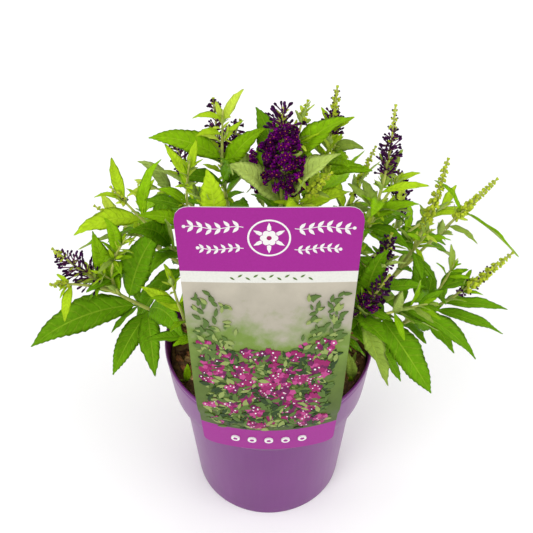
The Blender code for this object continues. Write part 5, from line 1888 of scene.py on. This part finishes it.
class BushPlantSettings(bpy.types.PropertyGroup):
    """The bush's wood, leaves and flowers."""

    bark_colour: tint("Bark", (0.30, 0.19, 0.085))
    stem_colour: tint("Green stems", (0.42, 0.46, 0.09))
    leaf_deep: tint("Oldest leaves", (0.118, 0.285, 0.003))
    leaf_mid: tint("Grown leaves", (0.232, 0.460, 0.004))
    leaf_fresh: tint("Fresh leaves", (0.405, 0.615, 0.014))
    leaf_young: tint("Youngest leaves", (0.545, 0.700, 0.060))
    leaf_grey: tint("Greyish leaves", (0.270, 0.390, 0.055))
    leaf_downy: tint("Downy leaves", (0.470, 0.620, 0.130))
    rib_contrast: share("Rib contrast", "How much paler than its leaf a rib is", 0.22)
    rib_colour: tint("Ribs and veins", (0.50, 0.62, 0.05))
    underside_colour: tint("Undersides of leaves", (0.40, 0.54, 0.11))
    leaf_width_share: share("Leaf breadth", "Breadth of a leaf as a share of its length", LEAF_WIDTH_SHARE)
    leaf_thickness: size("Leaf thickness", "Thickness of a 60 mm leaf", 0.0005)
    leaf_fold: share("Leaf fold", "How far a leaf folds up along its rib", 0.060)
    tooth_depth: share("Teeth", "Depth of the teeth as a share of half the breadth", 0.050)
    young_slimness: share("Slim young leaves", "How much narrower the youngest leaves are", 0.14)
    leaf_gloss: share("Leaf gloss", "Strength of the gloss on leaves", 0.04)
    stalk_radius: size("Leaf stalk", "Radius of a 60 mm leaf's stalk", 0.0006)
    vein_count: number("Veins", "Side veins along a leaf", 11)
    vein_lean: share("Vein lean", "How far the veins run forward", 0.24)
    petal_colour: tint("Open florets", (0.112, 0.0006, 0.125))
    throat_colour: tint("Florets' throats", (0.45, 0.09, 0.02))
    club_colour: tint("Closed flowers", (0.028, 0.0045, 0.034))
    bud_colour: tint("Green buds", (0.38, 0.46, 0.025))


class BushStageSettings(bpy.types.PropertyGroup):
    """The floor and the lights."""

    floor_colour: tint("Floor", (0.98, 0.98, 0.98))
    sky_strength: share("Room light", "Strength of the even light from all sides", 0.80)
    key_power: power("Main light", "Power of the main light", 14.0)
    side_power: power("Side lights", "Power of each side light", 4.0)
    fill_power: power("Fill light", "Power of the fill light", 6.0)


class BUSH_OT_pot(bpy.types.Operator):
    """Make the plastic pot"""

    bl_idname = "bush.pot"
    bl_label = "Pot"

    def execute(self, context):
        make_pot(context.scene.bush_pot)
        return {"FINISHED"}


class BUSH_OT_soil(bpy.types.Operator):
    """Make the soil with its bark chips and fibres"""

    bl_idname = "bush.soil"
    bl_label = "Soil"

    def execute(self, context):
        make_soil(context.scene.bush_pot)
        make_litter(context.scene.bush_pot)
        return {"FINISHED"}


class BUSH_OT_card(bpy.types.Operator):
    """Make the picture card, its tongue and its print"""

    bl_idname = "bush.card"
    bl_label = "Picture card"

    def execute(self, context):
        make_card(context.scene.bush_pot)
        make_print(context.scene.bush_pot)
        return {"FINISHED"}


class BUSH_OT_wood(bpy.types.Operator):
    """Make the woody stem and the boughs"""

    bl_idname = "bush.wood"
    bl_label = "Wood"

    def execute(self, context):
        make_trunk(context.scene.bush_plant)
        make_boughs(context.scene.bush_plant)
        return {"FINISHED"}


class BUSH_OT_foliage(bpy.types.Operator):
    """Make the green stems and all the leaves"""

    bl_idname = "bush.foliage"
    bl_label = "Foliage"

    def execute(self, context):
        make_twigs(context.scene.bush_plant)
        make_leaves(context.scene.bush_plant)
        return {"FINISHED"}


class BUSH_OT_flowers(bpy.types.Operator):
    """Make the open florets, the closed flowers and the green buds"""

    bl_idname = "bush.flowers"
    bl_label = "Flowers"

    def execute(self, context):
        make_florets(context.scene.bush_plant)
        make_clubs(context.scene.bush_plant)
        make_buds(context.scene.bush_plant)
        return {"FINISHED"}


def area_light(name, place, target, strength, width):
    light = bpy.data.lights.new(name, "AREA")
    light.energy = strength
    light.shape = "DISK"
    light.size = width
    lamp = bpy.data.objects.new(name, light)
    lamp.location = place
    lamp.rotation_euler = (Vector(target) - Vector(place)).to_track_quat("-Z", "Y").to_euler()
    bpy.context.scene.collection.objects.link(lamp)


def set_lights(scene, settings):
    """Even light from all sides, a main lamp, a fill, one from behind and one from each side."""
    world = bpy.data.worlds.new("studio")
    world.use_nodes = True
    background = world.node_tree.nodes["Background"]
    background.inputs["Color"].default_value = (1.0, 1.0, 1.0, 1.0)
    background.inputs["Strength"].default_value = settings.sky_strength
    scene.world = world
    middle = (0.0, 0.02, 0.20)
    area_light("key", (-0.9, -1.3, 1.7), middle, settings.key_power, 1.1)
    area_light("fill", (1.3, -0.8, 1.1), middle, settings.fill_power, 1.2)
    area_light("back", (0.2, 1.4, 1.6), middle, settings.fill_power * 0.7, 1.2)
    for side in (-1.0, 1.0):
        area_light("side", (1.5 * side, -0.1, 0.55), (0.0, 0.0, 0.12), settings.side_power, 0.9)


def set_camera(scene):
    camera = bpy.data.cameras.new("camera")
    camera.lens = CAMERA_LENS
    camera.sensor_width = 36.0
    camera.clip_start = 0.01
    eye = bpy.data.objects.new("camera", camera)
    eye.location = CAMERA_PLACE
    eye.rotation_euler = (math.pi / 2 - CAMERA_TILT, 0.0, 0.0)
    scene.collection.objects.link(eye)
    scene.camera = eye
    scene.view_settings.view_transform = "Standard"


class BUSH_OT_stage(bpy.types.Operator):
    """Make the floor, the soft lights and the camera"""

    bl_idname = "bush.stage"
    bl_label = "Stage"

    def execute(self, context):
        settings = context.scene.bush_stage
        fresh()
        bpy.ops.mesh.primitive_plane_add(size=14.0, location=(0.0, 0.0, 0.0))
        floor = named("floor")
        wear(floor, Finish("floor", settings.floor_colour, 0.9).material)
        set_lights(context.scene, settings)
        set_camera(context.scene)
        return {"FINISHED"}


OPERATORS = (BUSH_OT_pot, BUSH_OT_soil, BUSH_OT_card, BUSH_OT_wood, BUSH_OT_foliage, BUSH_OT_flowers,
             BUSH_OT_stage)


class BUSH_PT_panel(bpy.types.Panel):
    """The steps in order, and the sizes and colours that they use."""

    bl_idname = "BUSH_PT_panel"
    bl_label = "Potted butterfly bush"
    bl_space_type = "VIEW_3D"
    bl_region_type = "UI"
    bl_category = "Bush"

    def draw(self, context):
        for operator in OPERATORS:
            self.layout.operator(operator.bl_idname)
        for name in SETTINGS:
            group = getattr(context.scene, name)
            box = self.layout.box()
            for entry in group.__annotations__:
                box.prop(group, entry)


SETTINGS = {"bush_pot": BushPotSettings, "bush_plant": BushPlantSettings, "bush_stage": BushStageSettings}
CLASSES = (*SETTINGS.values(), *OPERATORS, BUSH_PT_panel)


def register():
    for item in CLASSES:
        bpy.utils.register_class(item)
    for name, group in SETTINGS.items():
        setattr(bpy.types.Scene, name, bpy.props.PointerProperty(type=group))


def unregister():
    for name in SETTINGS:
        delattr(bpy.types.Scene, name)
    for item in reversed(CLASSES):
        bpy.utils.unregister_class(item)


def main():
    register()
    bpy.ops.bush.pot()
    bpy.ops.bush.soil()
    bpy.ops.bush.card()
    bpy.ops.bush.wood()
    bpy.ops.bush.foliage()
    bpy.ops.bush.flowers()
    bpy.ops.bush.stage()


if __name__ == "__main__":
    main()
